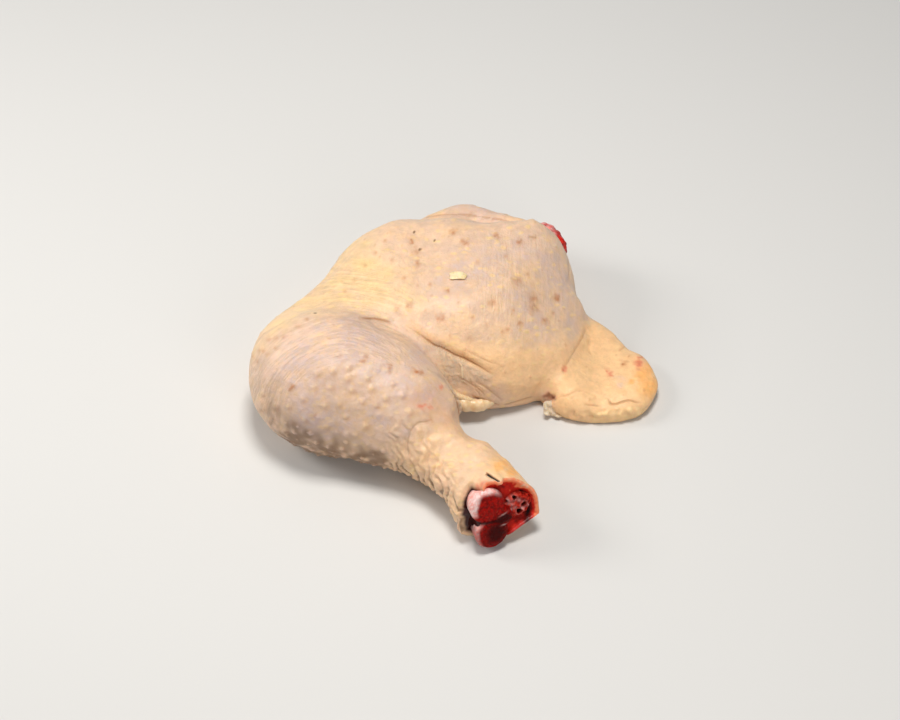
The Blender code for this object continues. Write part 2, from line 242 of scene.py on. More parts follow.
def leg_rings(bodies):
    """Rings of points from the flap's tip to the hock.

    Rays leave a flat middle sheet, spaced as along a strip with round ends: from the middle of its
    underside round the outer end, over the top, round the inner end and back below.
    Each point is where its ray leaves the body, found by halving.
    """
    sheet = spline(MIDDLE, STEPS)
    inner, outer, height = sheet[:, 0:2], sheet[:, 2:4], sheet[:, 4]
    across = unit(outer - inner)
    near_hock = ease(np.linspace(0, 1, STEPS), 0.9, 1)[:, None]
    square_in = unit(np.gradient(inner, axis=0)[:, ::-1] * (-1, 1))
    square_out = unit(np.gradient(outer, axis=0)[:, ::-1] * (1, -1))
    inward = unit((square_in * 0.6 - across * 0.4) * (1 - near_hock) - across * near_hock)
    outward = unit((square_out * 0.6 + across * 0.4) * (1 - near_hock) + across * near_hock)
    tilt = near_hock * CUT_TILT
    up = np.hstack([-SHANK_EAST * np.sin(tilt), SHANK_SOUTH * np.sin(tilt), np.cos(tilt)])

    width = np.linalg.norm(outer - inner, axis=1)[:, None]
    radius = 1.1 * height[:, None]
    below = FEWER_BELOW * width
    around = np.arange(RING_POINTS) / RING_POINTS * (width + below + 2 * np.pi * radius)
    up_outer = np.clip((around - below / 2) / radius, 0, np.pi)
    at_top = np.clip((around - below / 2 - np.pi * radius) / width, 0, 1)
    down_inner = np.clip((around - below / 2 - np.pi * radius - width) / radius, 0, np.pi)
    back_below = around - below / 2 - 2 * np.pi * radius - width
    place = np.clip(0.5 + around / below, 0.5, 1) - at_top + np.clip(back_below / below, 0, 0.5)
    rise = np.where(at_top > 0, np.cos(down_inner), -np.cos(up_outer))
    to_inner = np.sin(down_inner)
    to_outer = np.sin(up_outer)

    flat = inner[:, None] + (outer - inner)[:, None] * place[..., None]
    start = np.dstack([flat, np.broadcast_to(height[:, None], flat.shape[:2])])
    side = inward[:, None] * to_inner[..., None] + outward[:, None] * to_outer[..., None]
    ray = np.dstack([side, np.zeros(flat.shape[:2])]) + up[:, None] * rise[..., None]

    turn = np.pi / 2 * (1 - np.arange(TIP_STEPS) / TIP_STEPS)[:, None, None]
    middle = start[0].mean(0)
    tip_start = middle + (start[0] - middle) * np.cos(turn)
    tip_ray = ray[0] * np.cos(turn) + FLAP_AXIS * np.sin(turn)
    start = np.concatenate([tip_start, start])
    ray = unit(np.concatenate([tip_ray, ray]))

    shape = start.shape
    start, ray = start.reshape(-1, 3), ray.reshape(-1, 3)
    near, far = np.zeros(len(start)), np.full(len(start), 64.0)
    inside = np.ones(len(start), bool)
    for reach in np.linspace(4, 60, 15):
        out = outside(start + ray * reach, bodies) > 0
        far[inside & out] = reach
        inside &= ~out
        near[inside] = reach
    for _ in range(11):
        halfway = (near + far) / 2
        out = outside(start + ray * halfway[:, None], bodies) > 0
        far = np.where(out, halfway, far)
        near = np.where(out, near, halfway)
    return (start + ray * ((near + far) / 2)[:, None]).reshape(shape)


def halve_steps(rings):
    """A surface with a cubic midpoint between each two rings, and between each two points of a ring."""
    ends = np.concatenate([2 * rings[:1] - rings[1:2], rings, 2 * rings[-1:] - rings[-2:-1]])
    between = (9 * (rings[:-1] + rings[1:]) - ends[:-3] - ends[3:]) / 16
    more = np.empty((2 * len(rings) - 1, *rings.shape[1:]))
    more[0::2], more[1::2] = rings, between
    step = [np.roll(more, k, 1) for k in (1, 0, -1, -2)]
    full = np.empty((more.shape[0], 2 * more.shape[1], more.shape[2]))
    full[:, 0::2], full[:, 1::2] = more, (9 * (step[1] + step[2]) - step[0] - step[3]) / 16
    return full


def normals(rings):
    """The outward normal at each point: the cross product of the surface's two directions."""
    along = np.gradient(rings, axis=0)
    around = (np.roll(rings, -1, 1) - np.roll(rings, 1, 1)) / 2
    normal = np.cross(along, around)
    normal[:1] = FLAP_AXIS
    return unit(normal)


def relax(rings, bodies, rounds):
    """Even out a grid: each point moves half way to its neighbours' mean and back onto the body."""
    for _ in range(rounds):
        facing = normals(rings)[1:-1]
        beside = np.roll(rings, 1, 1)[1:-1] + np.roll(rings, -1, 1)[1:-1]
        move = (rings[2:] + rings[:-2] + beside) / 4 - rings[1:-1]
        move -= facing * (move * facing).sum(-1, keepdims=True)
        moved = rings[1:-1] + 0.5 * move
        lift = outside(moved.reshape(-1, 3), bodies).reshape(moved.shape[:2])
        rings[1:-1] = moved - facing * np.clip(lift, -1, 1)[..., None]
    return rings


bodies = (spline(DRUMSTICK, 110), spline(THIGH_OUTLINE, 90, True), spline(FLAP_OUTLINE, 60, True),
          spline(BACK_ROLL, 24), spline(HOCK_TAB, 12))
rings = halve_steps(relax(leg_rings(bodies), bodies, 6))


# What the skin looks like, by place in the photograph's picture: across and up, in drawing units.
# Folds, wrinkles and goose bumps move the surface, and masks of 0 to 1 carry its colours to the material.
# some masks carry painted shade and painted highlights as well as the skin's own colours
TOWARD_CAMERA = np.array([0, -np.cos(CAMERA_TILT), np.sin(CAMERA_TILT)])
UP_IN_PICTURE = np.array([0, np.sin(CAMERA_TILT), np.cos(CAMERA_TILT)])
PICTURE_ZERO = np.array([0.4, 16])
PICTURE_SCALE = 0.992

# outlines of the parts that look alike
CALF = [
    (-88, 0), (-82, 16), (-72, 27), (-60, 34), (-46, 37), (-34, 36), (-22, 32), (-13, 26), (-6, 17),
    (-1, 7), (2, -2), (-3, -12), (-17, -18), (-20, -32), (-50, -34), (-80, -22),
]
WEB = [
    (-10, 23), (-3.5, 22), (1.7, 18.5), (6.9, 16), (12.9, 12.1), (20.2, 9.5), (16.3, 6.9), (11.2, 6.9),
    (6.9, 7.5), (5.1, 4.3), (1.7, 3.9), (-2.2, 5.6), (-4.3, 10.4), (-6.9, 16),
]
SHANK = [
    (-17, -17), (-10, -9), (2, -5), (20, -18), (36, -34), (44, -50), (30, -70), (0, -70), (-10, -40),
    (-20, -30),
]
SHOULDER = [
    (-92, 10), (-80, 20), (-66, 32), (-48, 38), (-24, 36), (-14, 40), (-28, 60), (-36, 86), (-70, 70),
    (-95, 30),
]
FLAP = [(62, 36), (56, 26), (52, 17), (47, 10), (44, 2), (46, -12), (90, -12), (92, 24), (76, 30)]
ANKLE = [(-24, -10), (-12, -12), (-4, -22), (2, -38), (7, -44), (7, -58), (-4, -58), (-26, -34)]
WARM_THIGH = [(-16, 30), (4, 26), (24, 20), (44, 26), (56, 22), (50, 0), (28, -4), (18, 8), (0, 18)]

# the paths of folds, creases and wrinkles
FOLD = [
    (-21, 30.6), (-17.5, 29.5), (-13.5, 27.5), (-9.5, 24.7), (-6.4, 22.5), (-2.4, 21), (2, 18.4),
    (6, 16.8), (9.7, 14.8), (13.4, 12.8), (17.4, 10.3), (22, 8.6),
]
CALF_TOP = [(-39, 32.6), (-36, 33.2), (-32, 33.4), (-28, 33), (-25, 32.2), (-22.5, 31.4)]
UPPER_FOLD = [(4, 21.5), (7.7, 19.6), (11.8, 17.6), (15.8, 15.6), (19.5, 14.4), (23, 13.8)]
CALF_RIM = [(-8, 19), (-4.4, 15.2), (-2, 12), (-0.3, 8.3), (0.8, 4), (2, 0)]
WEB_RIDGE = [(3.7, 15.6), (5.3, 13.2), (5.5, 9.9), (6.1, 7.5), (7.7, 5.6)]
RUFFLE_CREASE = [(9, 1), (11.8, -0.2), (15.8, -1.4), (19.8, -2.6), (24, -3.8)]
WEB_WRINKLES = [
    [(5.1, 8.2), (9.5, 5.6), (13.8, 2.6), (15.5, 0)],
    [(8, 8), (14, 5.4), (18.1, 2.6), (21.5, 0), (22.8, -2.1)],
    [(10.5, 4), (12.5, 2.2), (13.4, 0.6)],
]
THIGH_EDGE = [(21, -3.1), (25, -2.8), (30, -1.9), (34, -0.8), (38, 0.3)]
DRUMSTICK_EDGE = [(3.6, 0), (5.5, -5), (7.5, -10), (11.5, -15), (16, -20)]
FLAP_FOLD = [
    (60.4, 32.2), (58.4, 28.6), (56.8, 25.6), (54.4, 21.6), (50.7, 15.5), (48.4, 11.5), (49, 8.9),
]
FLAP_FOLD_2 = [(60.1, 28.2), (59.6, 23.6), (59.4, 20.2), (61.4, 17.2)]
FLAP_CREASE = [
    (62, 0.9), (67.1, -0.1), (68.4, -2.1), (70.4, -2.5), (73.8, -1.5), (76.1, -1.1), (79.4, -2),
    (82.5, -2.6),
]
FLAP_LINE = [(46.1, 0.2), (49.7, 0.7), (55.1, 2.5), (61.8, 0.9), (66, 0)]
FLAP_LOW_LINE = [(56, -2.8), (59.5, -3.2), (62.5, -3.4), (66, -4.3)]
FLAP_TIP_LINE = [(71.4, 19.4), (72.8, 20.4), (74.8, 22)]
FLAP_EDGE = [(50, -4.5), (59, -5.4), (68.4, -4.4), (78.4, -3.5), (84, -4.2), (86, -14), (46, -14)]
RIGHT_RIM = [(50, 63), (50.8, 60), (51.1, 57), (51, 54), (50.8, 50), (51, 46)]
HIP_LINE = [(32.8, 68), (35, 67.4), (38.2, 67.3)]
ANKLE_FOLD = [
    (-18, -26), (-17.5, -19.5), (-16.9, -16.6), (-15.4, -13), (-12.7, -10.6), (-9.2, -10), (-5, -8.2),
]
BACK_LIP = [(-18, 75), (-8, 77), (2, 77.5), (12, 77), (22, 75.5), (30, 73)]
SLIT = [(15.2, -31.9), (20, -34.6), (26.6, -38.3)]

# each row: path, lip, groove, width, how soon it fades in and out, its line's painted shade, a painted
# highlight below 0
FOLDS = [
    (FOLD, 0.8, 1.0, 1.8, 0.4, 0.3, 0.95),
    (UPPER_FOLD, 0.25, 0.3, 1.3, 0.3, 0.4, 0.3),
    (CALF_TOP, 0.25, 0.35, 1.2, 0.3, 0.3, 0.8),
    (CALF_RIM, 0.2, 0.15, 1.1, 0.2, 0.2, 0.15),
    (WEB_RIDGE, 0.3, 0, 0.8, 0.2, 0.2, -0.7),
    (RUFFLE_CREASE, 0.3, 0.9, 1.2, 0.2, 0.3, 0.7),
    (WEB_WRINKLES[0], 0.12, 0.12, 0.7, 0.3, 0.3, 0.35),
    (WEB_WRINKLES[1], 0.12, 0.14, 0.7, 0.3, 0.3, 0.35),
    (WEB_WRINKLES[2], 0.1, 0.12, 0.6, 0.3, 0.3, 0.3),
    (THIGH_EDGE, -0.25, 0.35, 0.8, 0.2, 0.3, 0.55),
    (FLAP_FOLD, -0.35, 0.45, 1.6, 0.2, 0.2, 0.2),
    (FLAP_FOLD_2, 0.2, 0.4, 1.2, 0.3, 0.3, 0.3),
    (FLAP_CREASE, -0.3, 0.5, 1.1, 0.35, 0.2, 0.65),
    (FLAP_LINE, 0.15, 0.15, 1.0, 0.3, 0.4, 0.25),
    (FLAP_LOW_LINE, -0.2, 0.25, 1.0, 0.3, 0.4, 0.45),
    (FLAP_TIP_LINE, 0.15, 0.2, 0.9, 0.3, 0.3, 0.4),
    (RIGHT_RIM, -0.5, 0.3, 1.0, 0.2, 0.3, 0.35),
    (HIP_LINE, 0.3, 0.3, 1.0, 0.3, 0.3, 0.5),
    (ANKLE_FOLD, -0.5, 0.7, 1.5, 0.2, 0.2, 0.4),
    (BACK_LIP, -0.5, 0.6, 1.3, 0.2, 0.2, 0.5),
    # the slit's line goes black: painted shade in the slit
    (SLIT, 0.2, 0.7, 0.8, 0.12, 0.02, 2.0),
]

# stretch lines follow this path on the calf and shoulder, and stand upright elsewhere on the thigh
CALF_LINES = [
    (-90, -6), (-86, 10), (-76, 24), (-62, 33), (-46, 36.5), (-34, 35.5), (-22.5, 31.5), (-13, 25),
    (-6, 16), (-1, 6),
]
UPRIGHT = [(18, 70), (52, 70), (56, 34), (30, 22), (8, 40)]

# listed marks: place across and up, then size
BACK_KNOBS = [(35.2, 74.6, 1.7), (22, 76, 1.5)]
NOTCH = [(42.9, -0.5, 1.6)]
# the notch's red, and painted shade in its hole
NOTCH_RED_AND_SHADE = [(42.7, -0.3, 1.5), (41.4, 0.9, 1.3)]
NOTCH_BRUISE = [(41, 1.2, 2.6)]
FLAP_TEAR = [(59.7, -8, 1.2)]
BROWN_SPOTS = [
    (-15.8, 65.8, 1.2), (-14.2, 61.6, 1.5), (-13, 56.4, 1.4), (7.2, 65.2, 1.6), (19.9, 68.3, 1.2),
    (29.6, 65.8, 1.3), (-3.7, 33.8, 1.9), (-16.4, 38.6, 1.6), (45.9, 42.9, 1.5), (40.5, 32.6, 1.5),
    (28.4, 48.9, 1.6), (18.1, 40.4, 1.5), (23.5, 28.4, 1.3), (8.4, 24.7, 1.2), (30.2, 31.4, 1.2),
    (35.6, 42, 1.8), (36.2, 38, 2.0), (-22, 38, 1.3), (-14.5, 11.3, 1.4), (-11.8, 10.4, 1.2),
    (-66.3, 4.1, 1.3), (-7.4, -9.5, 1.4), (73.8, 14.2, 1.3), (75.8, 16.9, 0.9), (2, 70, 1.3),
    (-1, 45, 1.2), (-56.5, -7.2, 0.8), (-79.4, -5.5, 0.9), (-25, 13.5, 1.2), (-36, 15.5, 1.1),
]
SMALL_DOTS = [
    (-72.8, 24.9), (-75.7, 24.1), (-69.4, 25.4), (-79.8, 19.7), (-77.8, 19.5), (-76.1, 18.3),
    (-72.8, 20.8), (-81.1, 15.4), (-83, 17.5), (-64, 30), (-60, 33), (-35.5, 56), (-31, 61), (-27, 66),
    (-40, 50), (-44, 45), (-24, 58), (-19, 50), (10, 34), (16, 31), (4, 40), (27, 37), (33, 52),
    (24, 60), (12, 57), (-8, 48), (44, 36),
]
RED_SPOTS = [
    (-11.4, -4.2, 1.1), (-13.2, -3.5, 0.9), (-9.7, -2.5, 0.9), (-8.2, -3.8, 0.8), (-3.4, 4.7, 0.8),
    (11.6, -37.8, 1.5), (14.2, -37.2, 1.6), (9.6, -39.2, 1.2), (17, -37.6, 1.4), (80.4, 16.4, 0.8),
    (80.1, 14.2, 1.9), (67, 11.4, 0.9), (68.3, 10.1, 0.9), (48.8, 12, 1.2),
]
ORANGE_SPOTS = [
    (21, -28.5, 3.2), (27, -31, 4), (24, -27.5, 3), (33, -37, 3), (84.5, 4.5, 5), (81.8, 9.5, 4),
    (76.8, 6.9, 1.4), (85, 13, 3),
]
PINK_PATCHES = [(-5, -4, 5), (-8, 0, 4), (0, -9, 4), (-14, -1, 4)]
BLACK_DOTS = [(-14.6, 70, 0.45), (-12.2, 63, 0.5), (-6.1, 67, 0.35), (-56.4, 35.6, 0.4)]
LILAC_SPOTS = [
    (-41.9, -11.3, 3.2), (-32.7, -5.9, 2.4), (-29, -10.1, 2.8), (-44.3, 32, 2.4), (-54, 30, 2.8),
    (-22.5, 32.6, 2.4), (-1, 45, 4), (-40, 23, 12), (-62, 14, 12), (-30, 12, 7), (5, 52, 12),
    (17, 58, 13), (42, 58, 10), (48, 44, 8), (36, 30, 7), (-58, -8, 10), (-20, 4, 5), (-10, 2, 4),
    (52, 34, 5), (30, 40, 8), (-18, -14, 4), (-14, 17, 5), (71.8, 7.5, 2), (73.1, 6.2, 1.6),
    (30, 62, 8), (45, 50, 9), (12, 78.5, 6), (3, 79, 5), (20, 77.5, 4),
]
PALE_BUMPS = [
    (-55.7, 10.4, 1.3), (-49.2, 11.2, 1.1), (-42.7, 12.4, 1.3), (-43.1, 8.3, 1.6), (-50.2, 4.7, 1.3),
    (-34.4, 8.3, 1.0), (-36.9, -1.3, 1.1), (-41.1, 3.5, 1.2), (-56.9, 4.7, 1.1), (-61.5, -0.1, 1.2),
    (-52.7, -3, 1.2), (-46.5, -2.6, 1.2), (-73.6, -3.4, 1.2), (-67.8, -3.4, 1.1), (-61.1, -8.8, 1.2),
    (-75.7, -8.8, 1.1), (-79, 2, 1.0), (-69.4, -13.4, 1.2), (-35.6, -11.8, 1.5), (-26, 12, 1.0),
    (-24, 6, 1.1), (-27, 0, 1.2), (-33, 3.9, 1.3), (-20, 1, 1.1), (-16.9, -5.9, 1.3), (-47, 18, 0.9),
    (-36, 18, 1.0), (-31, -3, 1.2), (-44, -8, 1.2), (-52, -12, 1.3),
]


def on_picture(points):
    """Where points show in the photograph: the camera's view of them, scaled to the leg's distance."""
    away = points - AIM
    far = CAMERA_AWAY / UNIT
    across, up = away[..., 0], away @ UP_IN_PICTURE
    larger = PICTURE_SCALE * far / (far - away @ TOWARD_CAMERA)
    return np.stack([across, up], -1) * larger[..., None] + PICTURE_ZERO


def wander(points, scale, seed):
    """Smooth random waves from -1 to 1: a sum of sines in directions drawn from the seed."""
    draw = np.random.default_rng(seed)
    directions = unit(draw.normal(size=(14, 3))) / scale * draw.uniform(0.7, 1.6, (14, 1))
    phases = draw.uniform(0, 2 * np.pi, 14)
    total = sum(np.sin(points @ way * 2 * np.pi + phase) for way, phase in zip(directions, phases))
    return total / 5


def zone(seen, outline, soft):
    """A mask, 1 within an outline in the picture and 0 outside, eased over a soft edge."""
    return ease(inset(seen.reshape(-1, 2), np.array(outline, float)), -soft, soft).reshape(seen.shape[:-1])


def to_path(seen, path, count=50):
    """Signed distance to a path in the picture, and how far along it, from 0 to 1."""
    line = spline(path, count)
    start, run = line[:-1], np.diff(line, axis=0)
    dx = seen[..., 0, None] - start[:, 0]
    dy = seen[..., 1, None] - start[:, 1]
    t = np.clip((dx * run[:, 0] + dy * run[:, 1]) / (run**2).sum(1), 0, 1)
    ox, oy = dx - t * run[:, 0], dy - t * run[:, 1]
    apart = np.sqrt(ox**2 + oy**2)
    nearest = apart.argmin(-1)[..., None]
    side = np.sign(run[:, 0] * oy - run[:, 1] * ox)
    reach = np.take_along_axis(apart, nearest, -1)[..., 0]
    left = np.take_along_axis(side, nearest, -1)[..., 0]
    along = (nearest[..., 0] + np.take_along_axis(t, nearest, -1)[..., 0]) / (count - 1)
    return reach * left, along


def fold(seen, path, lip, groove, width, fade_in, fade_out):
    """A fold along a path: a bell-shaped lip on its left and a groove on its line, faded at its ends."""
    apart, along = to_path(seen, path)
    fade = ease(along, 0, fade_in) * ease(1 - along, 0, fade_out)
    raised = lip * np.exp(-((apart - 1.5 * width) / (1.3 * width))**2)
    sunk = groove * np.exp(-(apart / (0.55 * width))**2)
    return (raised - sunk) * fade, apart, fade


def spots(seen, marks):
    """A mask of marks in the picture, each a bell of its own size."""
    total = np.zeros(seen.shape[:-1])
    for across, up, size in marks:
        apart2 = (seen[..., 0] - across)**2 + (seen[..., 1] - up)**2
        total = np.maximum(total, np.exp(-apart2 / size**2))
    return total


def bumps(points, places, sizes, heights):
    """Round bumps at places on the surface, each a bell of its own size and height."""
    total = np.zeros(points.shape[:2])
    for place, size, tall in zip(places, sizes, heights):
        apart2 = ((points - place)**2).sum(-1)
        near = apart2 < (3 * size)**2
        total[near] = np.maximum(total[near], tall * np.exp(-apart2[near] / size**2))
    return total


def scatter(points, mask, spacing, seed):
    """Places on the surface, kept where the mask lets them be and no nearer than the spacing."""
    draw = np.random.default_rng(seed)
    order = draw.permutation(points.shape[0] * points.shape[1])
    flat = points.reshape(-1, 3)[order]
    flat = flat[mask.reshape(-1)[order] > draw.uniform(0.05, 1, len(flat))][:6000]
    kept = flat[:1]
    for place in flat:
        if ((kept - place)**2).sum(1).min() > (spacing * draw.uniform(0.85, 1.25))**2:
            kept = np.vstack([kept, place])
    return kept


# a fold's thin line of painted shade: how far it reaches, how faint is left out, and the distance that
# stands for none
LINE_REACH = 1.15
FAINT = 0.02
NO_LINE = 9.0

facing = normals(rings)
toward = facing @ TOWARD_CAMERA
x, y, z = rings[..., 0], rings[..., 1], rings[..., 2]
seen = on_picture(rings)
ragged = seen + 1.6 * np.stack([wander(rings, 9, 21), wander(rings, 9, 22)], -1)
front = ease(toward, -0.12, 0.2)
clear = ease(z, 0.5, 4)
calf = zone(ragged, CALF, 3) * front
web = zone(ragged, WEB, 2) * front * (1 - calf)
shank = zone(ragged, SHANK, 3)
shoulder = zone(ragged, SHOULDER, 6) * front
flap = zone(ragged, FLAP, 3)

relief = 0.6 * wander(rings, 34, 3) + 0.26 * wander(rings, 13, 4)
# the nearest fold's line, kept as its distance and painted shade, a highlight below 0, and faded where two
# lines meet
line_apart = np.full(relief.shape, NO_LINE)
line_shade_and_highlight = np.zeros_like(relief)
next_apart = np.full(relief.shape, NO_LINE)
for path, lip, groove, width, fade_in, fade_out, dark in FOLDS:
    change, apart, fade = fold(seen, path, lip, groove, width, fade_in, fade_out)
    relief += change * front
    drawn = dark * fade * front * (np.abs(apart) < LINE_REACH)
    here = np.abs(drawn) > FAINT
    chosen = here & ((np.abs(line_shade_and_highlight) < FAINT) | (np.abs(apart) < np.abs(line_apart)))
    other = np.where(chosen, np.abs(line_apart), np.abs(apart))
    next_apart = np.where(here, np.minimum(next_apart, other), next_apart)
    line_apart = np.where(chosen, apart, line_apart)
    line_shade_and_highlight = np.where(chosen, drawn, line_shade_and_highlight)
line_shade_and_highlight *= ease(next_apart - np.abs(line_apart), 0.1, 0.5)

# the drumstick is slimmer along its edge by the gap
edge_apart, edge_along = to_path(seen, DRUMSTICK_EDGE)
slim = np.exp(-(edge_apart / 4.5)**2) * ease(edge_along, 0, 0.35) * ease(1 - edge_along, 0, 0.4)
relief -= 3.4 * slim * ease(-y, 23, 31)

# ridges square to the ankle, and fine ones across the web
ankle = zone(seen, ANKLE, 3.5) * clear
ridges = np.sin(2 * np.pi * (x + 0.25 * z + 1.6 * wander(rings, 9, 31)) / 3.4)
ridges *= 0.7 + 0.5 * wander(rings, 5, 35)
relief += ankle * (0.55 * ridges - 0.25 + 0.2 * wander(rings, 2.6, 36))
relief += web * 0.08 * np.sin(2 * np.pi * (x + 0.7 * z + 1.6 * wander(rings, 6, 32)) / 2.4)
relief += web * 0.1 * wander(rings, 2.8, 34)
relief += shank * clear * 0.22 * wander(rings, 5.5, 33)

# a knob on the back edge, the hole of the notch and the torn lower edge of the flap
relief += 1.2 * spots(seen, BACK_KNOBS) * (facing[..., 1] > 0)
relief -= 1.8 * spots(seen, NOTCH) * front
relief += 0.5 * zone(seen, FLAP_EDGE, 1) * wander(rings, 3.2, 38) - 0.9 * spots(seen, FLAP_TEAR)

# goose bumps on the low side of the calf, pale bumps over it at listed places, and small ones elsewhere
low_side = ease(0.15 * facing[..., 0] - facing[..., 1], 0.1, 0.65) * ease(-x, 12, 26) * ease(x, -84, -58)
low_side *= clear * (1 - ankle)
draw = np.random.default_rng(12)
low_edge = low_side * ease(0.95 - toward, 0, 0.55)
goose = scatter(rings, np.maximum(low_edge, 0.25 * low_side), 4.3, 11)
goose_height = bumps(rings, goose, draw.uniform(0.9, 1.4, len(goose)), draw.uniform(0.5, 1.15, len(goose)))
follicles = scatter(rings, 0.6 * ease(facing[..., 2], -0.1, 0.5) * (1 - 0.8 * calf) * (1 - shank), 7, 13)
follicle_height = bumps(rings, follicles, draw.uniform(0.7, 1.2, len(follicles)),
                        draw.uniform(0.08, 0.26, len(follicles)))
pale = spots(seen, PALE_BUMPS) * calf
relief += goose_height * (0.35 * low_side + 0.65 * low_edge) + follicle_height + 0.65 * pale
relief *= clear

# painted shadow below each pale bump, and painted shade, partly brown skin, in the pits and ankle wrinkles
below_right = np.array([0.9, -1.0])
shadow = spots(seen - below_right, PALE_BUMPS) * calf * (1 - pale)
# painted shade between the bumps, growing where the calf's low edge turns from the camera
pit_brown_and_shade = low_edge * (0.3 + 0.9 * ease(0.75 - goose_height, 0, 0.5)) * (1 + 0.6 * wander(rings, 6, 37))
pit_brown_and_shade *= ease(toward, -0.9, 0.15) * (0.85 + 0.3 * wander(rings, 20, 39))
# painted shade in the valleys of the ankle's wrinkles
wrinkled = ankle * ease(0.85 - toward, 0, 0.5) * ease(toward, -0.6, 0.25)
pit_brown_and_shade = np.maximum(pit_brown_and_shade, 0.95 * wrinkled * ease(-ridges, -0.1, 0.7))

# at the hock the skin hangs back from the bone on the left, and is cut away below on the right
in_hock = rings - CUT_CENTRE
side, rise, out = in_hock @ CUT_SIDE, in_hock @ CUT_UP, in_hock @ CUT_OUT
# bared also carries painted shade, dark red, for the gap it leaves
bared = ease(out, -6.0, -5.0) * ease(-side, 5, 9) * ease(16.5 - rise, 0, 4)
cut_away = np.maximum(0.384 * side - 10.3 - rise, 0) * ease(out, -10, -1.5)
relief -= 4.8 * bared
overhang = 2.2 * np.exp(-((side + 0.5) / 1.3)**2) - 1.8 * np.exp(-((side + 5.8) / 2.2)**2)
overhang = overhang * ease(rise, 6, 10) + 0.6 * ease(rise, 7, 11) * ease(-side, -1, 2)
drawn_back = 6.5 * ease(-rise, 4.5, 9) * ease(1 - side, 0, 6)

skin_points = rings + facing * relief[..., None]
past_rim = (overhang - drawn_back) * ease(out, -9, 0)
skin_points += cut_away[..., None] * CUT_UP + past_rim[..., None] * CUT_OUT
skin_points[..., 2] = np.maximum(skin_points[..., 2], 0)

# masks for the skin's colours: fat shows yellow or warm, dark flesh shows lilac
tips = 0.35 * goose_height * low_edge + 0.75 * pale
blotchy = seen + 0.75 * np.stack([wander(rings, 3.4, 23), wander(rings, 3.4, 24)], -1)
lilac = spots(ragged, LILAC_SPOTS) * front * (0.75 + 0.35 * wander(rings, 8, 51))
lilac += 0.3 * calf * (1 - ankle) + 0.15 * low_side + 0.5 * spots(seen, NOTCH_BRUISE)
warm = np.clip(np.maximum(flap, 0.75 * zone(ragged, WARM_THIGH, 5) * front) + 0.35 * shank, 0, 1)
orange = spots(blotchy, ORANGE_SPOTS) * front
yellow = 0.7 * shoulder * (0.8 + 0.4 * wander(rings, 14, 52)) + 0.3 * flap
brown_and_shadow = spots(blotchy, BROWN_SPOTS) * front * (0.8 + 0.4 * wander(rings, 7, 25))
brown_and_shadow = np.maximum(brown_and_shadow, 0.35 * (follicle_height > 0.16) * follicle_height / 0.26)
brown_and_shadow = np.maximum(brown_and_shadow, 0.6 * spots(seen, [(*place, 0.8) for place in SMALL_DOTS]) * front)
# the painted shadow below the pale bumps joins the brown marks
brown_and_shadow = np.maximum(brown_and_shadow, 0.45 * shadow)
red = np.maximum(spots(blotchy, RED_SPOTS), 0.17 * spots(ragged, PINK_PATCHES)) * front
# the notch: red, and painted shade in its hole
notch = spots(blotchy, NOTCH_RED_AND_SHADE)
black = spots(seen, BLACK_DOTS) * front
fat_edge = zone(blotchy, FLAP_EDGE, 0.7) * ease(seen[..., 0], 56, 62) * front

# coordinates for streaks and dashes, along and across the stretch lines, and how strong they are
across_lines, along_lines = to_path(seen, CALF_LINES)
near_crease = ease(27 - np.abs(across_lines), 0, 14) * ease(0.84 - along_lines, 0, 0.14)
curved = np.maximum(calf * (1 - ankle), shoulder) * near_crease * front
upright = zone(ragged, UPRIGHT, 7) * front
use_curved = curved > upright
grain = (
    np.where(use_curved, across_lines, seen[..., 0]),
    np.where(use_curved, along_lines * 100, seen[..., 1]),
    np.maximum(curved, 0.35 * upright),
)
where_both_meet = ease(0.12 - np.abs(curved - upright), 0, 0.1) * ease(curved, 0, 0.1)
dashes = (
    np.where(use_curved, along_lines * 21, seen[..., 0] / 4.2),
    np.where(use_curved, across_lines / 2.4, seen[..., 1] / 2.4),
    (1 - where_both_meet) * (1 - web) * (1 - 0.55 * calf) * (1 - 0.8 * flap) * front,
)
# painted shade in the pits and the notch's hole, and the black dots
hollows = np.clip(pit_brown_and_shade + 0.9 * notch, 0, 1) + 2 * black
masks = {
    "tints": (np.clip(lilac, 0, 1), np.clip(yellow, 0, 1), warm + orange * (2 - warm)),
    "marks": (np.clip(brown_and_shadow, 0, 1), np.clip(red + notch, 0, 1), hollows),
    "extra": (np.clip(tips + 0.8 * fat_edge, 0, 1), web, np.zeros_like(web)),
    "grain": grain,
    "lines": (line_apart, line_shade_and_highlight, bared),
    "dashes": dashes,
}


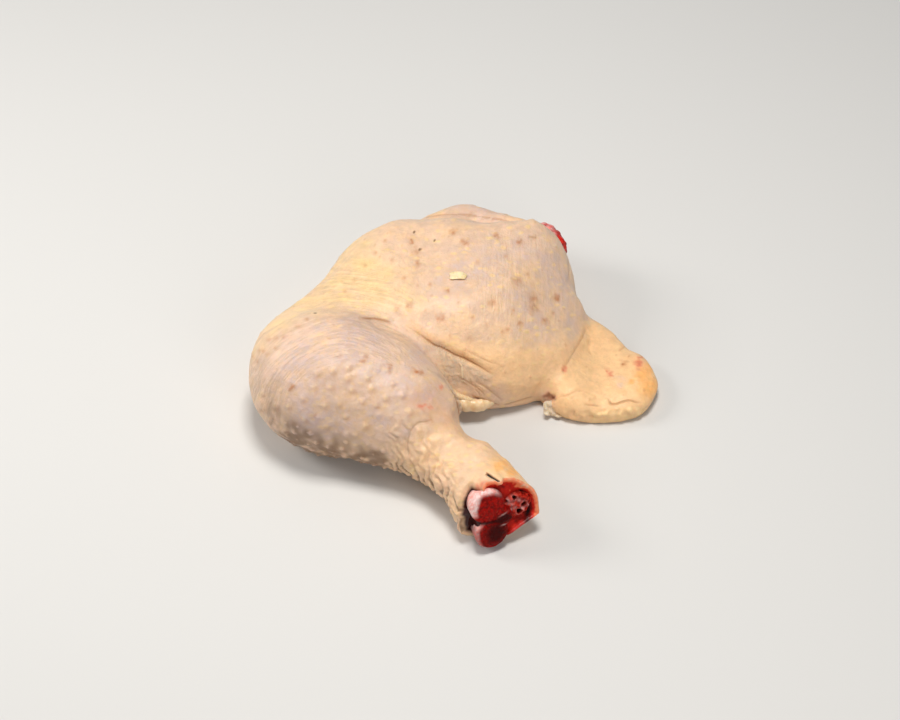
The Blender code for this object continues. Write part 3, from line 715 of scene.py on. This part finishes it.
def close_surface(name, grid, masks=None):
    """One closed mesh: a grid of rings, a fan of faces at each end, and its points' masks as attributes."""
    steps, around = grid.shape[:2]
    points = np.vstack([grid.reshape(-1, 3), grid[0].mean(0), grid[-1].mean(0)])
    index = np.arange(steps * around).reshape(steps, around)
    onward = np.roll(index, -1, 1)
    quads = np.stack([index[:-1], index[1:], onward[1:], onward[:-1]], -1).reshape(-1, 4)
    first = np.stack([np.full(around, steps * around), index[0], onward[0]], -1)
    last = np.stack([np.full(around, steps * around + 1), onward[-1], index[-1]], -1)
    corner = [points[quads[:, k]] for k in range(4)]
    turn = np.cross(corner[2] - corner[0], corner[3] - corner[1])
    if (turn * (corner[0] - points.mean(0))).sum() < 0:
        quads, first, last = quads[:, ::-1], first[:, ::-1], last[:, ::-1]
    mesh = bpy.data.meshes.new(name)
    mesh.vertices.add(len(points))
    mesh.vertices.foreach_set("co", ((points - CENTRE) * UNIT).reshape(-1))
    corners = np.concatenate([quads.reshape(-1), first.reshape(-1), last.reshape(-1)])
    counts = np.concatenate([np.full(len(quads), 4), np.full(2 * around, 3)])
    mesh.loops.add(len(corners))
    mesh.loops.foreach_set("vertex_index", corners)
    mesh.polygons.add(len(counts))
    mesh.polygons.foreach_set("loop_start", np.concatenate([[0], np.cumsum(counts)[:-1]]))
    mesh.polygons.foreach_set("use_smooth", np.ones(len(counts), bool))
    mesh.update(calc_edges=True)
    mesh.validate()
    for mask_name, channels in (masks or {}).items():
        values = np.stack([np.broadcast_to(part, grid.shape[:2]) for part in channels], -1)
        values = np.vstack([values.reshape(-1, 3), values[0].mean(0), values[-1].mean(0)])
        layer = mesh.attributes.new(mask_name, "FLOAT_VECTOR", "POINT")
        layer.data.foreach_set("vector", values.reshape(-1))
    piece = bpy.data.objects.new(name, mesh)
    bpy.context.scene.collection.objects.link(piece)
    return piece


def add(tree, kind, **values):
    """One shader node, its sockets linked to other sockets or set to plain values."""
    made = tree.nodes.new(kind)
    for name, value in values.items():
        socket = made.inputs[name.replace("_", " ")]
        if isinstance(value, bpy.types.NodeSocket):
            tree.links.new(value, socket)
        else:
            socket.default_value = value
    return made


def blend(tree, amount, first, second, how="MIX"):
    """Two colours mixed by an amount from 0 to 1."""
    made = tree.nodes.new("ShaderNodeMix")
    made.data_type = "RGBA"
    made.blend_type = how
    for number, value in ((0, amount), (6, first), (7, second)):
        if isinstance(value, bpy.types.NodeSocket):
            tree.links.new(value, made.inputs[number])
        else:
            made.inputs[number].default_value = (*value, 1) if number else value
    return made.outputs[2]


def calc(tree, how, first, second=0.0, third=0.0):
    """One sum on two or three values."""
    made = tree.nodes.new("ShaderNodeMath")
    made.operation = how
    for socket, value in zip(made.inputs, (first, second, third)):
        if isinstance(value, bpy.types.NodeSocket):
            tree.links.new(value, socket)
        else:
            socket.default_value = value
    return made.outputs[0]


def steps_of(tree, value, low, high, to_low=0.0, to_high=1.0):
    """A value moved smoothly from one range to another and held at its ends."""
    made = add(tree, "ShaderNodeMapRange", Value=value)
    made.interpolation_type = "SMOOTHSTEP"
    for socket, number in zip(list(made.inputs)[1:5], (low, high, to_low, to_high)):
        socket.default_value = number
    return made.outputs[0]


def mask(tree, name):
    """The three channels of a mask that the mesh carries."""
    carried = tree.nodes.new("ShaderNodeAttribute")
    carried.attribute_name = name
    return add(tree, "ShaderNodeSeparateXYZ", Vector=carried.outputs["Vector"]).outputs


def layered(tree, colour, layers):
    """A colour with others laid over it in turn, each by its own amount."""
    for amount, over in layers:
        colour = blend(tree, amount, colour, over)
    return colour


def noise(tree, where, scale, detail=2.0, roughness=0.5):
    """Soft noise from 0 to 1, with features of about 1 / scale metres."""
    made = add(tree, "ShaderNodeTexNoise", Vector=where, Scale=scale, Detail=detail, Roughness=roughness)
    return made.outputs[0]


def new_material(name, piece):
    """A material put on a piece: its nodes, its shader and the piece's own coordinates."""
    made = bpy.data.materials.new(name)
    made.use_nodes = True
    piece.data.materials.append(made)
    tree = made.node_tree
    return tree, tree.nodes["Principled BSDF"], tree.nodes.new("ShaderNodeTexCoord").outputs["Object"]


def dress(tree, shader, colour, gloss, height, strength, depth, plain):
    """Join a colour, a gloss and a relief to the shader, and set its plain values."""
    bump = add(tree, "ShaderNodeBump", Height=height, Strength=strength, Distance=depth)
    tree.links.new(colour, shader.inputs["Base Color"])
    tree.links.new(gloss, shader.inputs["Roughness"])
    tree.links.new(bump.outputs[0], shader.inputs["Normal"])
    for name, value in plain.items():
        shader.inputs[name].default_value = value


CREAM = (0.80, 0.53, 0.31)
DEEP_CREAM = (0.77, 0.53, 0.36)
TAN = (0.68, 0.47, 0.34)
YELLOW_FAT = (0.82, 0.58, 0.28)
WARM_FAT = (0.90, 0.56, 0.28)
LILAC = (0.59, 0.435, 0.385)
ORANGE = (0.92, 0.44, 0.13)
WEB_GREY = (0.53, 0.405, 0.295)
DASH_YELLOW = (0.88, 0.61, 0.29)
TIP_YELLOW = (0.90, 0.63, 0.31)
BROWN = (0.47, 0.19, 0.07)
RED = (0.72, 0.19, 0.10)
HOLLOW_SHADE_BROWN = (0.21, 0.11, 0.05)
LINE_SHADE_BROWN = (0.42, 0.18, 0.07)
RIDGE_HIGHLIGHT_CREAM = (0.92, 0.72, 0.46)
DOT_AND_SLIT_SHADE_BLACK = (0.015, 0.008, 0.005)
CUT_FAT = (0.94, 0.24, 0.10)
BRIGHT_FLESH = (0.62, 0.02, 0.012)
DARK_FLESH = (0.17, 0.006, 0.004)
SHADE_BLACK = (0.012, 0.002, 0.002)
GAP_SHADE_RED = (0.04, 0.005, 0.004)


def skin_material(name, piece, shine, coat):
    """Raw chicken skin, or with little shine the wet flesh of the cut.

    Cream, mottled in large soft patches, then each mask's own colour, painted shade and painted highlights
    laid over it, then shaded by fine noise, and last the cut's colours with painted shade in its gaps. Its
    relief is fine noise, pores, lines and streaks.
    """
    tree, shader, place = new_material(name, piece)
    lilac, yellow, warm = mask(tree, "tints")[:3]
    brown_and_shadow, red, hollow_shade_and_dots = mask(tree, "marks")[:3]
    tip, web, cut = mask(tree, "extra")[:3]
    across, along, streaky = mask(tree, "grain")[:3]
    line_apart, line_shade_and_highlight, gap = mask(tree, "lines")[:3]
    dash_along, dash_across, dashed = mask(tree, "dashes")[:3]

    broad = noise(tree, place, 60, 3)
    fine = noise(tree, place, 420, 4, 0.6)
    finest = noise(tree, place, 1500, 2)
    stretched = add(tree, "ShaderNodeCombineXYZ", X=calc(tree, "MULTIPLY", across, 0.95),
                    Y=calc(tree, "MULTIPLY", along, 0.12), Z=calc(tree, "MULTIPLY", broad, 3.0)).outputs[0]
    streaks = steps_of(tree, noise(tree, stretched, 1.0, 3, 0.55), 0.36, 0.62, -1, 1)
    streaks = calc(tree, "MULTIPLY", streaks, streaky)
    pores = add(tree, "ShaderNodeTexVoronoi", Vector=place, Scale=330.0).outputs["Distance"]
    pore = steps_of(tree, pores, 0.05, 0.42, 1, 0)
    off_line = calc(tree, "ABSOLUTE", line_apart)
    line = calc(tree, "MULTIPLY", steps_of(tree, off_line, 0.1, 0.75, 1, 0), line_shade_and_highlight)
    patchy = noise(tree, place, 130, 2)
    dash_place = add(tree, "ShaderNodeCombineXYZ", X=dash_along, Y=dash_across,
                     Z=calc(tree, "MULTIPLY", broad, 2.0)).outputs[0]
    dash = add(tree, "ShaderNodeTexVoronoi", Vector=dash_place, Scale=1.0).outputs["Distance"]
    dash = calc(tree, "MULTIPLY_ADD", calc(tree, "SUBTRACT", fine, 0.5), 0.9, dash)
    grains = calc(tree, "MULTIPLY", steps_of(tree, dash, 0.12, 0.45, 1, 0), dashed)
    grains = calc(tree, "MULTIPLY", steps_of(tree, patchy, 0.38, 0.6), grains)

    mottle = noise(tree, place, 190, 3, 0.6)
    hairs = steps_of(tree, noise(tree, place, 900, 3, 0.7), 0.35, 0.6, 0.75, 0.4)
    line_highlight = calc(tree, "MULTIPLY", line, -1.0)
    colour = blend(tree, steps_of(tree, broad, 0.35, 0.65), CREAM, DEEP_CREAM)
    colour = layered(tree, colour, [
        (steps_of(tree, mottle, 0.42, 0.62, 0, 0.6), TAN),
        (calc(tree, "MULTIPLY", yellow, steps_of(tree, broad, 0.25, 0.6, 0.55, 1)), YELLOW_FAT),
        (calc(tree, "MULTIPLY", steps_of(tree, warm, 0, 1), 0.85), WARM_FAT),
        (calc(tree, "MULTIPLY", lilac, steps_of(tree, fine, 0.36, 0.64, 0.4, 1)), LILAC),
        (steps_of(tree, warm, 1, 2, 0, 0.8), ORANGE),
        (calc(tree, "MULTIPLY", web, hairs), WEB_GREY),
        (calc(tree, "MULTIPLY", grains, 0.7), DASH_YELLOW),
        (steps_of(tree, tip, 0.2, 1.0, 0, 0.5), TIP_YELLOW),
        (calc(tree, "MULTIPLY", brown_and_shadow, steps_of(tree, fine, 0.35, 0.55, 0.55, 1)), BROWN),
        (calc(tree, "MULTIPLY", red, 0.85), RED),
        # painted shade in the pits, the wrinkles and the notch's hole, and round the black dots
        (steps_of(tree, hollow_shade_and_dots, 0, 1, 0, 0.85), HOLLOW_SHADE_BROWN),
        # painted shade along the fold lines
        (steps_of(tree, line, 0, 1, 0, 0.8), LINE_SHADE_BROWN),
        # painted highlight along the pale ridges and rims
        (steps_of(tree, line_highlight, 0, 1, 0, 0.8), RIDGE_HIGHLIGHT_CREAM),
        # these two: black painted shade in the slit, and the black dots
        (steps_of(tree, line, 1.1, 1.7), DOT_AND_SLIT_SHADE_BLACK),
        (steps_of(tree, hollow_shade_and_dots, 1.1, 2), DOT_AND_SLIT_SHADE_BLACK),
    ])
    shade = calc(tree, "MULTIPLY_ADD", calc(tree, "SUBTRACT", fine, 0.5), 0.42, 1.0)
    shade = calc(tree, "MULTIPLY_ADD", streaks, 0.08, shade)
    shade = calc(tree, "MULTIPLY_ADD", pore, 0.05, shade)
    tone = add(tree, "ShaderNodeCombineColor", Red=shade, Green=shade, Blue=shade).outputs[0]
    colour = layered(tree, blend(tree, 1.0, colour, tone, "MULTIPLY"), [
        (steps_of(tree, cut, 0.0, 0.3), CUT_FAT),
        (steps_of(tree, cut, 0.3, 0.5), BRIGHT_FLESH),
        (steps_of(tree, cut, 0.5, 0.8), DARK_FLESH),
        # painted shade, black, in the cut's dark arc
        (steps_of(tree, cut, 0.8, 1.0), SHADE_BLACK),
        # painted shade, dark red, in the gap where the skin hangs back from the bone
        (steps_of(tree, gap, 0.2, 0.6), GAP_SHADE_RED),
    ])

    relief_parts = [
        (finest, 0.35), (pore, 0.25), (streaks, 0.28), (line, -1.2), (grains, 0.3),
        (calc(tree, "MULTIPLY", noise(tree, place, 700, 3, 0.7), web), 1.2),
    ]
    height = calc(tree, "MULTIPLY", fine, 0.9)
    for part, share in relief_parts:
        height = calc(tree, "MULTIPLY_ADD", part, share, height)
    gloss = calc(tree, "MULTIPLY_ADD", cut, -0.2, steps_of(tree, fine, 0.3, 0.7, 0.42, 0.58))
    dress(tree, shader, colour, gloss, height, 0.55, 0.0006, {
        "Subsurface Weight": 0.22, "Subsurface Radius": (1, 0.45, 0.25), "Subsurface Scale": 0.003,
        "Specular IOR Level": shine, "Coat Weight": coat, "Coat Roughness": 0.3,
    })


# The chopped hock: the skin turns in over a rim, and wet meat, bone and sinews fill it.
# Places in the cut are across and up from its centre, and out is how far they stand out of it.

# how far each ring of the cap has shrunk to the middle, and how many of them keep the skin's shine
CAP_SHARES = [0.02, 0.05, 0.08, 0.12, 0.16, 0.2, 0.25, 0.31, 0.4, 0.55, 0.75, 0.92]
SHINY_RINGS = 3

# pale places on the rim and in the flesh: how pale, across and up, and how wide and tall
RIM_LIGHTS = [(0.26, 7.9, 8.7, 8, 2.5), (0.24, 3, 9, 6, 2.5), (0.3, 3, -7.5, 14, 3)]


def in_cut(across, up, out):
    """A place in the cut as a point of the drawing."""
    return CUT_CENTRE + across[..., None] * CUT_SIDE + up[..., None] * CUT_UP + out[..., None] * CUT_OUT


def as_points(across, up):
    """Places in the cut as points, for the random waves."""
    return np.stack([across, up, np.zeros_like(across)], -1)


def red_of(across, up, share):
    """How red the cut is, by place: 0.3 orange fat, 0.5 bright red, 0.75 dark flesh, 1 black painted shade
    in a gap.
    """
    rim = np.interp(share, [0.03, 0.1, 0.2, 0.3], [0.2, 0.32, 0.5, 0.72])
    lit = ease(0.7 * across + up, -4, 4)
    value = np.where(share > 0.3, 0.7, rim * lit + 0.78 * (1 - lit))
    value += 0.07 * wander(as_points(across, up), 2.2, 44)
    for paler, right, high, wide, tall in RIM_LIGHTS:
        value -= paler * np.exp(-((across - right)**2 / wide + (up - high)**2 / tall))
    # painted shade, near black, in the arc between the sinews and the skin's rim
    arc_shade = np.exp(-((np.hypot(across - 1.5, up + 0.2) - 9.6) / 1.2)**2) * ease(across, 6, 9)
    return np.clip(value + 0.4 * arc_shade, 0, 1)


def cap(ring):
    """The cut's face: rings that shrink to the middle, rise over a low rim and sink behind it."""
    share = np.array(CAP_SHARES)[:, None]
    away = ring - CUT_CENTRE
    across, up = (1 - share) * (away @ CUT_SIDE), (1 - share) * (away @ CUT_UP)
    sunk = ease(share, 0.04, 0.3)
    out = (away @ CUT_OUT) * (1 - sunk) - 1.8 * sunk + 0.7 * np.exp(-((share - 0.07) / 0.05)**2)
    return across, up, out, np.broadcast_to(share, across.shape)


def plug(centre, radius_at, top, depth, rows=34, around=120):
    """A plug in the cut: circles out to a radius by angle, raised by top, then a wall going in by depth."""
    angle = 2 * np.pi * np.arange(around) / around
    share = np.sin(np.linspace(0.03, 1, rows) * np.pi / 2)[:, None]
    across = centre[0] + share * radius_at(angle) * np.cos(angle)
    up = centre[1] + share * radius_at(angle) * np.sin(angle)
    out = top(across, up, share)
    wall = np.linspace(0, 1, 9)[1:, None]
    across = np.vstack([across, across[-1] * (1 - 0.1 * wall)])
    up = np.vstack([up, up[-1] * (1 - 0.1 * wall)])
    out = np.vstack([out, out[-1] * (1 - wall) - depth * wall])
    return across, up, out


cap_across, cap_up, cap_out, cap_share = cap(skin_points[-1])
skin_grid = np.concatenate([skin_points, in_cut(cap_across, cap_up, cap_out)])
in_ring = skin_points.shape[1]
blank = np.zeros((len(CAP_SHARES), in_ring))
for kind, channels in masks.items():
    masks[kind] = [np.vstack([part, blank]) for part in channels]
masks["lines"][0][-len(CAP_SHARES):] = NO_LINE
masks["lines"][2][-len(CAP_SHARES):] = bared[-1]
masks["extra"][2][-len(CAP_SHARES):] = red_of(cap_across, cap_up, cap_share)
skin = close_surface("chicken_skin", skin_grid, masks)
skin_material("raw_skin", skin, 0.35, 0.12)
skin_material("cut_flesh", skin, 0.04, 0.02)
wet = np.zeros(len(skin.data.polygons), np.int32)
wet[:bared[:-1].size] = bared[:-1].reshape(-1) > 0.4
wet[(len(skin_points) + SHINY_RINGS) * in_ring:(len(skin_grid) - 1) * in_ring] = 1
wet[len(skin_grid) * in_ring:] = 1
skin.data.polygons.foreach_set("material_index", wet)
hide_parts("leg")
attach(skin, "root")


# The sawn bone: the two-lobed end of the shin bone, dark marrow with pale cartilage round its upper lobe.
# It stands in the cut as a plug of low domes, and its shaft is hidden in the flesh.
BONE_LOBES = [(-6.8, 6.4, 7.3), (-6.8, -5.8, 7.0), (-1.4, -0.3, 4.4)]
BONE_MIDDLE = (-6.3, 0)


def bone_radius(angle):
    """The reach of the lobes from their middle: at each angle the farthest crossing with a circle."""
    reach = np.zeros_like(angle)
    for across, up, size in BONE_LOBES:
        dx, dy = across - BONE_MIDDLE[0], up - BONE_MIDDLE[1]
        along = dx * np.cos(angle) + dy * np.sin(angle)
        inside = size**2 - (dx**2 + dy**2 - along**2)
        reach = np.maximum(reach, np.where(inside > 0, along + np.sqrt(np.maximum(inside, 0)), 0))
    return reach


def bone_top(across, up, share):
    """The sawn bone: each lobe a low dome over its circle, with grooves between and a rounded edge."""
    dome = np.full(across.shape, -1.2)
    for place, height, size in BONE_LOBES:
        apart2 = (across - place)**2 + (up - height)**2
        dome = np.maximum(dome, 1.1 * (1 - (apart2 / (size + 0.3)**2)**2))
    return 0.5 + dome + 0.14 * wander(as_points(across, up), 1.6, 41) - 0.7 * ease(share, 0.93, 1)


def bone_masks(across, up):
    """Pale cartilage round the bone, thin painted highlights, and dark clots and painted shade in the gap
    between its lobes.
    """
    ragged_edge = 0.5 * wander(as_points(across, up), 6, 45)
    from_upper = np.hypot(across + 6.0, (up - 5.9) / 1.05) + ragged_edge
    turn = np.degrees(np.arctan2(up - 5.9, -(across + 6.0)))
    cartilage = ease(from_upper, 4.8, 6.6) * ease(turn, -30, -8) * ease(165 - turn, 0, 50)
    cartilage *= ease(up, -1, 1.5)
    cartilage = np.maximum(cartilage, 0.95 * np.exp(-((across + 12.6)**2 + (up + 1)**2) / 1.8))
    from_lower = np.hypot(across + 6.3, up + 6) + ragged_edge
    lower_rim = ease(from_lower, 5.7, 6.8) * ease(-across, 7.5, 10) * ease(-up, 0, 2)
    # painted highlights: thin pale glints on the bone's wet face
    painted_glints = np.exp(-((across + 1.2)**2 / 2.5 + (up - 1.4 - 0.25 * across)**2 / 0.08))
    painted_glints = np.maximum(painted_glints, 1.4 * np.exp(-((across + 1.6)**2 / 1.4 + (up + 3.7)**2 / 0.07)))
    clotted = np.exp(-((across + 5.4)**2 + (up + 6.3)**2) / 25)
    clotted += np.exp(-((across + 1.2)**2 / 9 + (up + 0.5)**2 / 4))
    # painted shade along the gap between the lobes
    lobe_gap_shade = np.exp(-((up + 1.5 + 0.12 * across) / 0.5)**2)
    whitish = np.clip(cartilage + 0.35 * lower_rim + 0.4 * painted_glints, 0, 1)
    return whitish, np.clip(1.3 * clotted + lobe_gap_shade, 0, 1), np.zeros_like(across)


def wet_material(name, piece, base, dark, speckle, grain_scale, gloss):
    """Wet raw meat: a red with darker clots and pale specks, the piece's own pale and dark masks, and black
    painted shade in its holes.
    """
    tree, shader, place = new_material(name, piece)
    pale, darker, hole = mask(tree, "flesh")[:3]
    clots = noise(tree, place, grain_scale, 3, 0.6)
    specks = noise(tree, place, grain_scale * 3.2, 2, 0.6)
    pink = blend(tree, steps_of(tree, clots, 0.4, 0.6), (0.92, 0.66, 0.62), (0.88, 0.42, 0.37))
    colour = layered(tree, blend(tree, steps_of(tree, clots, 0.35, 0.62), dark, base), [
        (steps_of(tree, specks, 0.60, 0.74, 0, 0.7), speckle),
        (calc(tree, "MULTIPLY", darker, 0.92), tuple(0.15 * part for part in dark)),
        (calc(tree, "MULTIPLY", pale, steps_of(tree, specks, 0.25, 0.5, 0.75, 1)), pink),
        # black painted shade in the holes
        (hole, SHADE_BLACK),
    ])
    shine = steps_of(tree, clots, 0.3, 0.7, gloss, gloss + 0.16)
    height = calc(tree, "MULTIPLY_ADD", specks, 0.5, clots)
    dress(tree, shader, colour, shine, height, 0.6, 0.0005, {
        "Specular IOR Level": 0.03, "Coat Weight": 0.1, "Coat Roughness": 0.06,
    })


across, up, out = plug(BONE_MIDDLE, bone_radius, bone_top, 8)
bone = close_surface("sawn_bone", in_cut(across, up, out), {"flesh": bone_masks(across, up)})
wet_material("marrow", bone, (0.38, 0.004, 0.002), (0.17, 0.002, 0.001), (0.55, 0.10, 0.04), 800, 0.35)
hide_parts("shin_bone")
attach(bone, "root")


# The sinews: a round bundle of wet red cords beside the bone, cut through with it.
# Pale lumps lie between its four open vessels, which are dark round holes.
TENDON_MIDDLE = (6.2, 2)
TENDON_HOLES = [(4.9, 5.5, 0.75), (1.3, 4.6, 0.7), (8.3, 1.4, 0.95), (6, -1.2, 1.0)]
PALE_LUMPS = [
    (2.2, 5.3, 0.9), (4.2, 1.3, 0.8), (6.5, 4, 0.8), (2.6, 1.2, 0.7), (7.4, -0.2, 0.6), (3.4, 3.4, 0.9),
]


def vessels(across, up):
    """The vessels' holes: 1 in each and 0 outside, with a steep edge."""
    return sum(np.exp(-(((across - a)**2 + (up - b)**2) / size**2)**2) for a, b, size in TENDON_HOLES)


def tendon_radius(angle):
    """A round bundle with a slightly lumpy edge: a circle and two sines."""
    return 5.4 + 0.25 * np.sin(3 * angle + 1) + 0.2 * np.sin(5 * angle)


def tendon_top(across, up, share):
    """The cut sinews: low lumps, with a deep round hole at each vessel, and a rounded edge."""
    holes = np.minimum(vessels(across, up), 1)
    return 0.3 + 0.5 * wander(as_points(across, up), 2.4, 42) - 2.2 * holes - 1.2 * ease(share, 0.75, 1)


def sinew_masks(across, up):
    """Pale lumps and rims of the sinews, and black painted shade in the vessels' holes."""
    rims = sum(
        np.exp(-((np.hypot(across - a, up - b) - 1.6 * size) / 0.4)**2) for a, b, size in TENDON_HOLES
    )
    lumps = sum(np.exp(-((across - a)**2 + (up - b)**2) / size**2) for a, b, size in PALE_LUMPS)
    holes = np.clip(1.3 * vessels(across, up), 0, 1)
    return np.clip(0.15 * rims + 0.27 * lumps, 0, 1), np.zeros_like(across), holes


across, up, out = plug(TENDON_MIDDLE, tendon_radius, tendon_top, 7)
sinews = close_surface("sinew_bundle", in_cut(across, up, out), {"flesh": sinew_masks(across, up)})
wet_material("sinew", sinews, (0.48, 0.025, 0.012), (0.22, 0.006, 0.004), (0.75, 0.22, 0.13), 700, 0.3)
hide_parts("tendons")
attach(sinews, "root")


# The hip: a strip of red flesh that shows where the leg was cut from the back.
# It is a lumpy egg, mostly under the skin, with a pale film over its upper end.
FLESH_CENTRE = (42, 73, 21)
FLESH_SIZE = (9.8, 5.2, 8.2)
FLESH_TURN = np.radians(-50)


def hip_rings(rows=64, around=112):
    """An egg: circles of cos(rise) at heights of sin(rise), stretched, turned in plan and roughened."""
    rise = np.radians(np.linspace(-86, 86, rows))[:, None]
    angle = 2 * np.pi * np.arange(around) / around
    girth = np.cos(rise) * (1 + 0.05 * np.sin(3 * angle + 2 * rise))
    length, width = np.cos(angle) * girth * FLESH_SIZE[0], np.sin(angle) * girth * FLESH_SIZE[1]
    east = length * np.cos(FLESH_TURN) - width * np.sin(FLESH_TURN)
    north = length * np.sin(FLESH_TURN) + width * np.cos(FLESH_TURN)
    egg = np.stack([east, north, np.broadcast_to(np.sin(rise) * FLESH_SIZE[2], east.shape)], -1)
    rough = 0.35 * wander(egg, 4.5, 61) + 0.15 * wander(egg, 2, 62) - 0.2
    return FLESH_CENTRE + egg + unit(egg) * rough[..., None]


egg = hip_rings()
pale_film = np.clip(0.7 * ease(46.5 - egg[..., 0], 0, 4) * (0.6 + 0.6 * wander(egg, 3, 63)), 0, 1)
hip_clots = 0.5 * ease(wander(egg, 5, 64), 0.1, 0.6)
flesh = close_surface("hip_meat", egg, {"flesh": (pale_film, hip_clots, np.zeros_like(hip_clots))})
wet_material("hip_meat", flesh, (0.70, 0.025, 0.015), (0.34, 0.008, 0.006), (0.82, 0.20, 0.12), 420, 0.24)
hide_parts("hip_flesh")
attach(flesh, "root")


# Loose scraps: folds of yellow fat under the knee, a film at the notch and a flake of dry skin.
# The fat is a lumpy tube along the thigh's edge, and the scraps are thin lenses laid on what carries them.
UPPER_RUFFLE = [
    (-3, -9.6, 17.9), (0, -10.4, 15.6), (2.8, -10.8, 13.4), (5.6, -10.8, 11.6), (8.8, -10.2, 10.2),
]
LOWER_RUFFLE = [
    (-1, -9.2, 12.6), (2.5, -10.4, 10.4), (6, -11.2, 8.8), (10, -11, 8), (13.5, -10.2, 7.7),
    (17, -9.2, 7.8),
]
# each row: name, path, radius, how many lumps and the seed of its waves
RUFFLES = [("ruffle_upper", UPPER_RUFFLE, 1.4, 7, 71), ("ruffle_lower", LOWER_RUFFLE, 2.9, 5, 72)]


def ruffle_rings(path, radius, lumps, seed, steps=90, around=40):
    """A tube along a path: circles square to it, thinned at both ends by a sine, with lumps and waves."""
    line = spline(path, steps)
    run = unit(np.gradient(line, axis=0))
    side = unit(np.cross(run, (0, 0, 1)))
    over = np.cross(side, run)
    share = np.linspace(0, 1, steps)[:, None]
    angle = 2 * np.pi * np.arange(around) / around
    thick = radius * np.sin(np.pi * (0.03 + 0.94 * share))**0.45
    wave = np.sin(2 * np.pi * lumps * share**1.4 + 1.2 * np.sin(angle))
    thick = thick * (1 + 0.05 * wave - 0.1 * np.cos(2 * angle))
    spoke = side[:, None] * np.cos(angle)[:, None] + over[:, None] * np.sin(angle)[:, None]
    ring = line[:, None] + spoke * thick[..., None]
    return ring + 0.35 * unit(ring - line[:, None]) * wander(ring, 9, seed)[..., None]


def fat_material(name, piece, deep, pale):
    """Raw fat or dry skin: a pale colour with a deeper one in its hollows, soft and greasy."""
    tree, shader, place = new_material(name, piece)
    clouds = noise(tree, place, 300, 3, 0.6)
    grains = noise(tree, place, 1600, 2)
    colour = blend(tree, steps_of(tree, clouds, 0.32, 0.62), deep, pale)
    colour = blend(tree, steps_of(tree, grains, 0.55, 0.75, 0, 0.3), colour, (0.93, 0.76, 0.50))
    gloss = steps_of(tree, clouds, 0.3, 0.7, 0.3, 0.45)
    height = calc(tree, "MULTIPLY_ADD", grains, 0.3, clouds)
    dress(tree, shader, colour, gloss, height, 0.15, 0.0005, {
        "Subsurface Weight": 0.3, "Subsurface Radius": (1, 0.6, 0.3), "Subsurface Scale": 0.003,
        "Coat Weight": 0.15, "Coat Roughness": 0.25,
    })


for ruffle_name, *ruffle_form in RUFFLES:
    ruffle = close_surface(ruffle_name, ruffle_rings(*ruffle_form))
    fat_material("raw_fat", ruffle, (0.78, 0.53, 0.28), (0.87, 0.65, 0.40))
    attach(ruffle, "root")


def scrap(centre, normal, length, width, thick, curl, seed, rows=22, around=72):
    """A thin lens: circles out to a ragged edge and back below, waved and curled away at its rim."""
    normal = unit(np.array(normal, float))
    along = unit(np.cross(normal, (0, 1, 0.2)))
    beside = np.cross(normal, along)
    angle = 2 * np.pi * np.arange(around) / around
    share = np.concatenate([np.linspace(0.05, 1, rows), np.linspace(0.96, 0.05, rows - 2)])[:, None]
    edge = (np.cos(angle)**4 + np.sin(angle)**4)**-0.25
    edge = edge * (1 + 0.05 * np.sin(3 * angle + seed) + 0.05 * np.sin(5 * angle + 2 * seed))
    top = np.concatenate([np.ones(rows), -np.ones(rows - 2)])[:, None]
    flat = along * (share * edge * np.cos(angle) * length)[..., None]
    flat = flat + beside * (share * edge * np.sin(angle) * width)[..., None]
    wave = curl * (share**2 * (0.5 + 0.5 * np.sin(2 * angle + seed)) + 0.5 * wander(flat, 3, seed))
    lift = wave + top * thick * np.sqrt(np.maximum(1 - share**2, 0))
    return centre + flat + normal * lift[..., None]


def on_skin(across, up):
    """The skin's point and normal that show at a place in the picture."""
    apart = np.hypot(seen[..., 0] - across, seen[..., 1] - up) + 100 * (toward < 0.1)
    row, column = np.unravel_index(apart.argmin(), apart.shape)
    return skin_points[row, column], facing[row, column]


FLAKE_PLACE = (3.5, 51.6)
FILM_PLACE = (41.8, -9, 4)
FILM_FACING = (0.15, -0.7, 0.7)
flake_point, flake_normal = on_skin(*FLAKE_PLACE)
flake_rings = scrap(flake_point + 0.35 * flake_normal, flake_normal, 3.5, 2.2, 0.3, 0.3, 5)
flake = close_surface("skin_flake", flake_rings)
fat_material("dry_skin", flake, (0.86, 0.60, 0.28), (0.92, 0.72, 0.42))
film_rings = scrap(np.array(FILM_PLACE), FILM_FACING, 4.4, 3.4, 0.35, 1.5, 8)
torn_film = close_surface("loose_film", film_rings)
fat_material("torn_film", torn_film, (0.42, 0.28, 0.17), (0.74, 0.58, 0.42))
for scrap_piece in (flake, torn_film):
    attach(scrap_piece, "root")
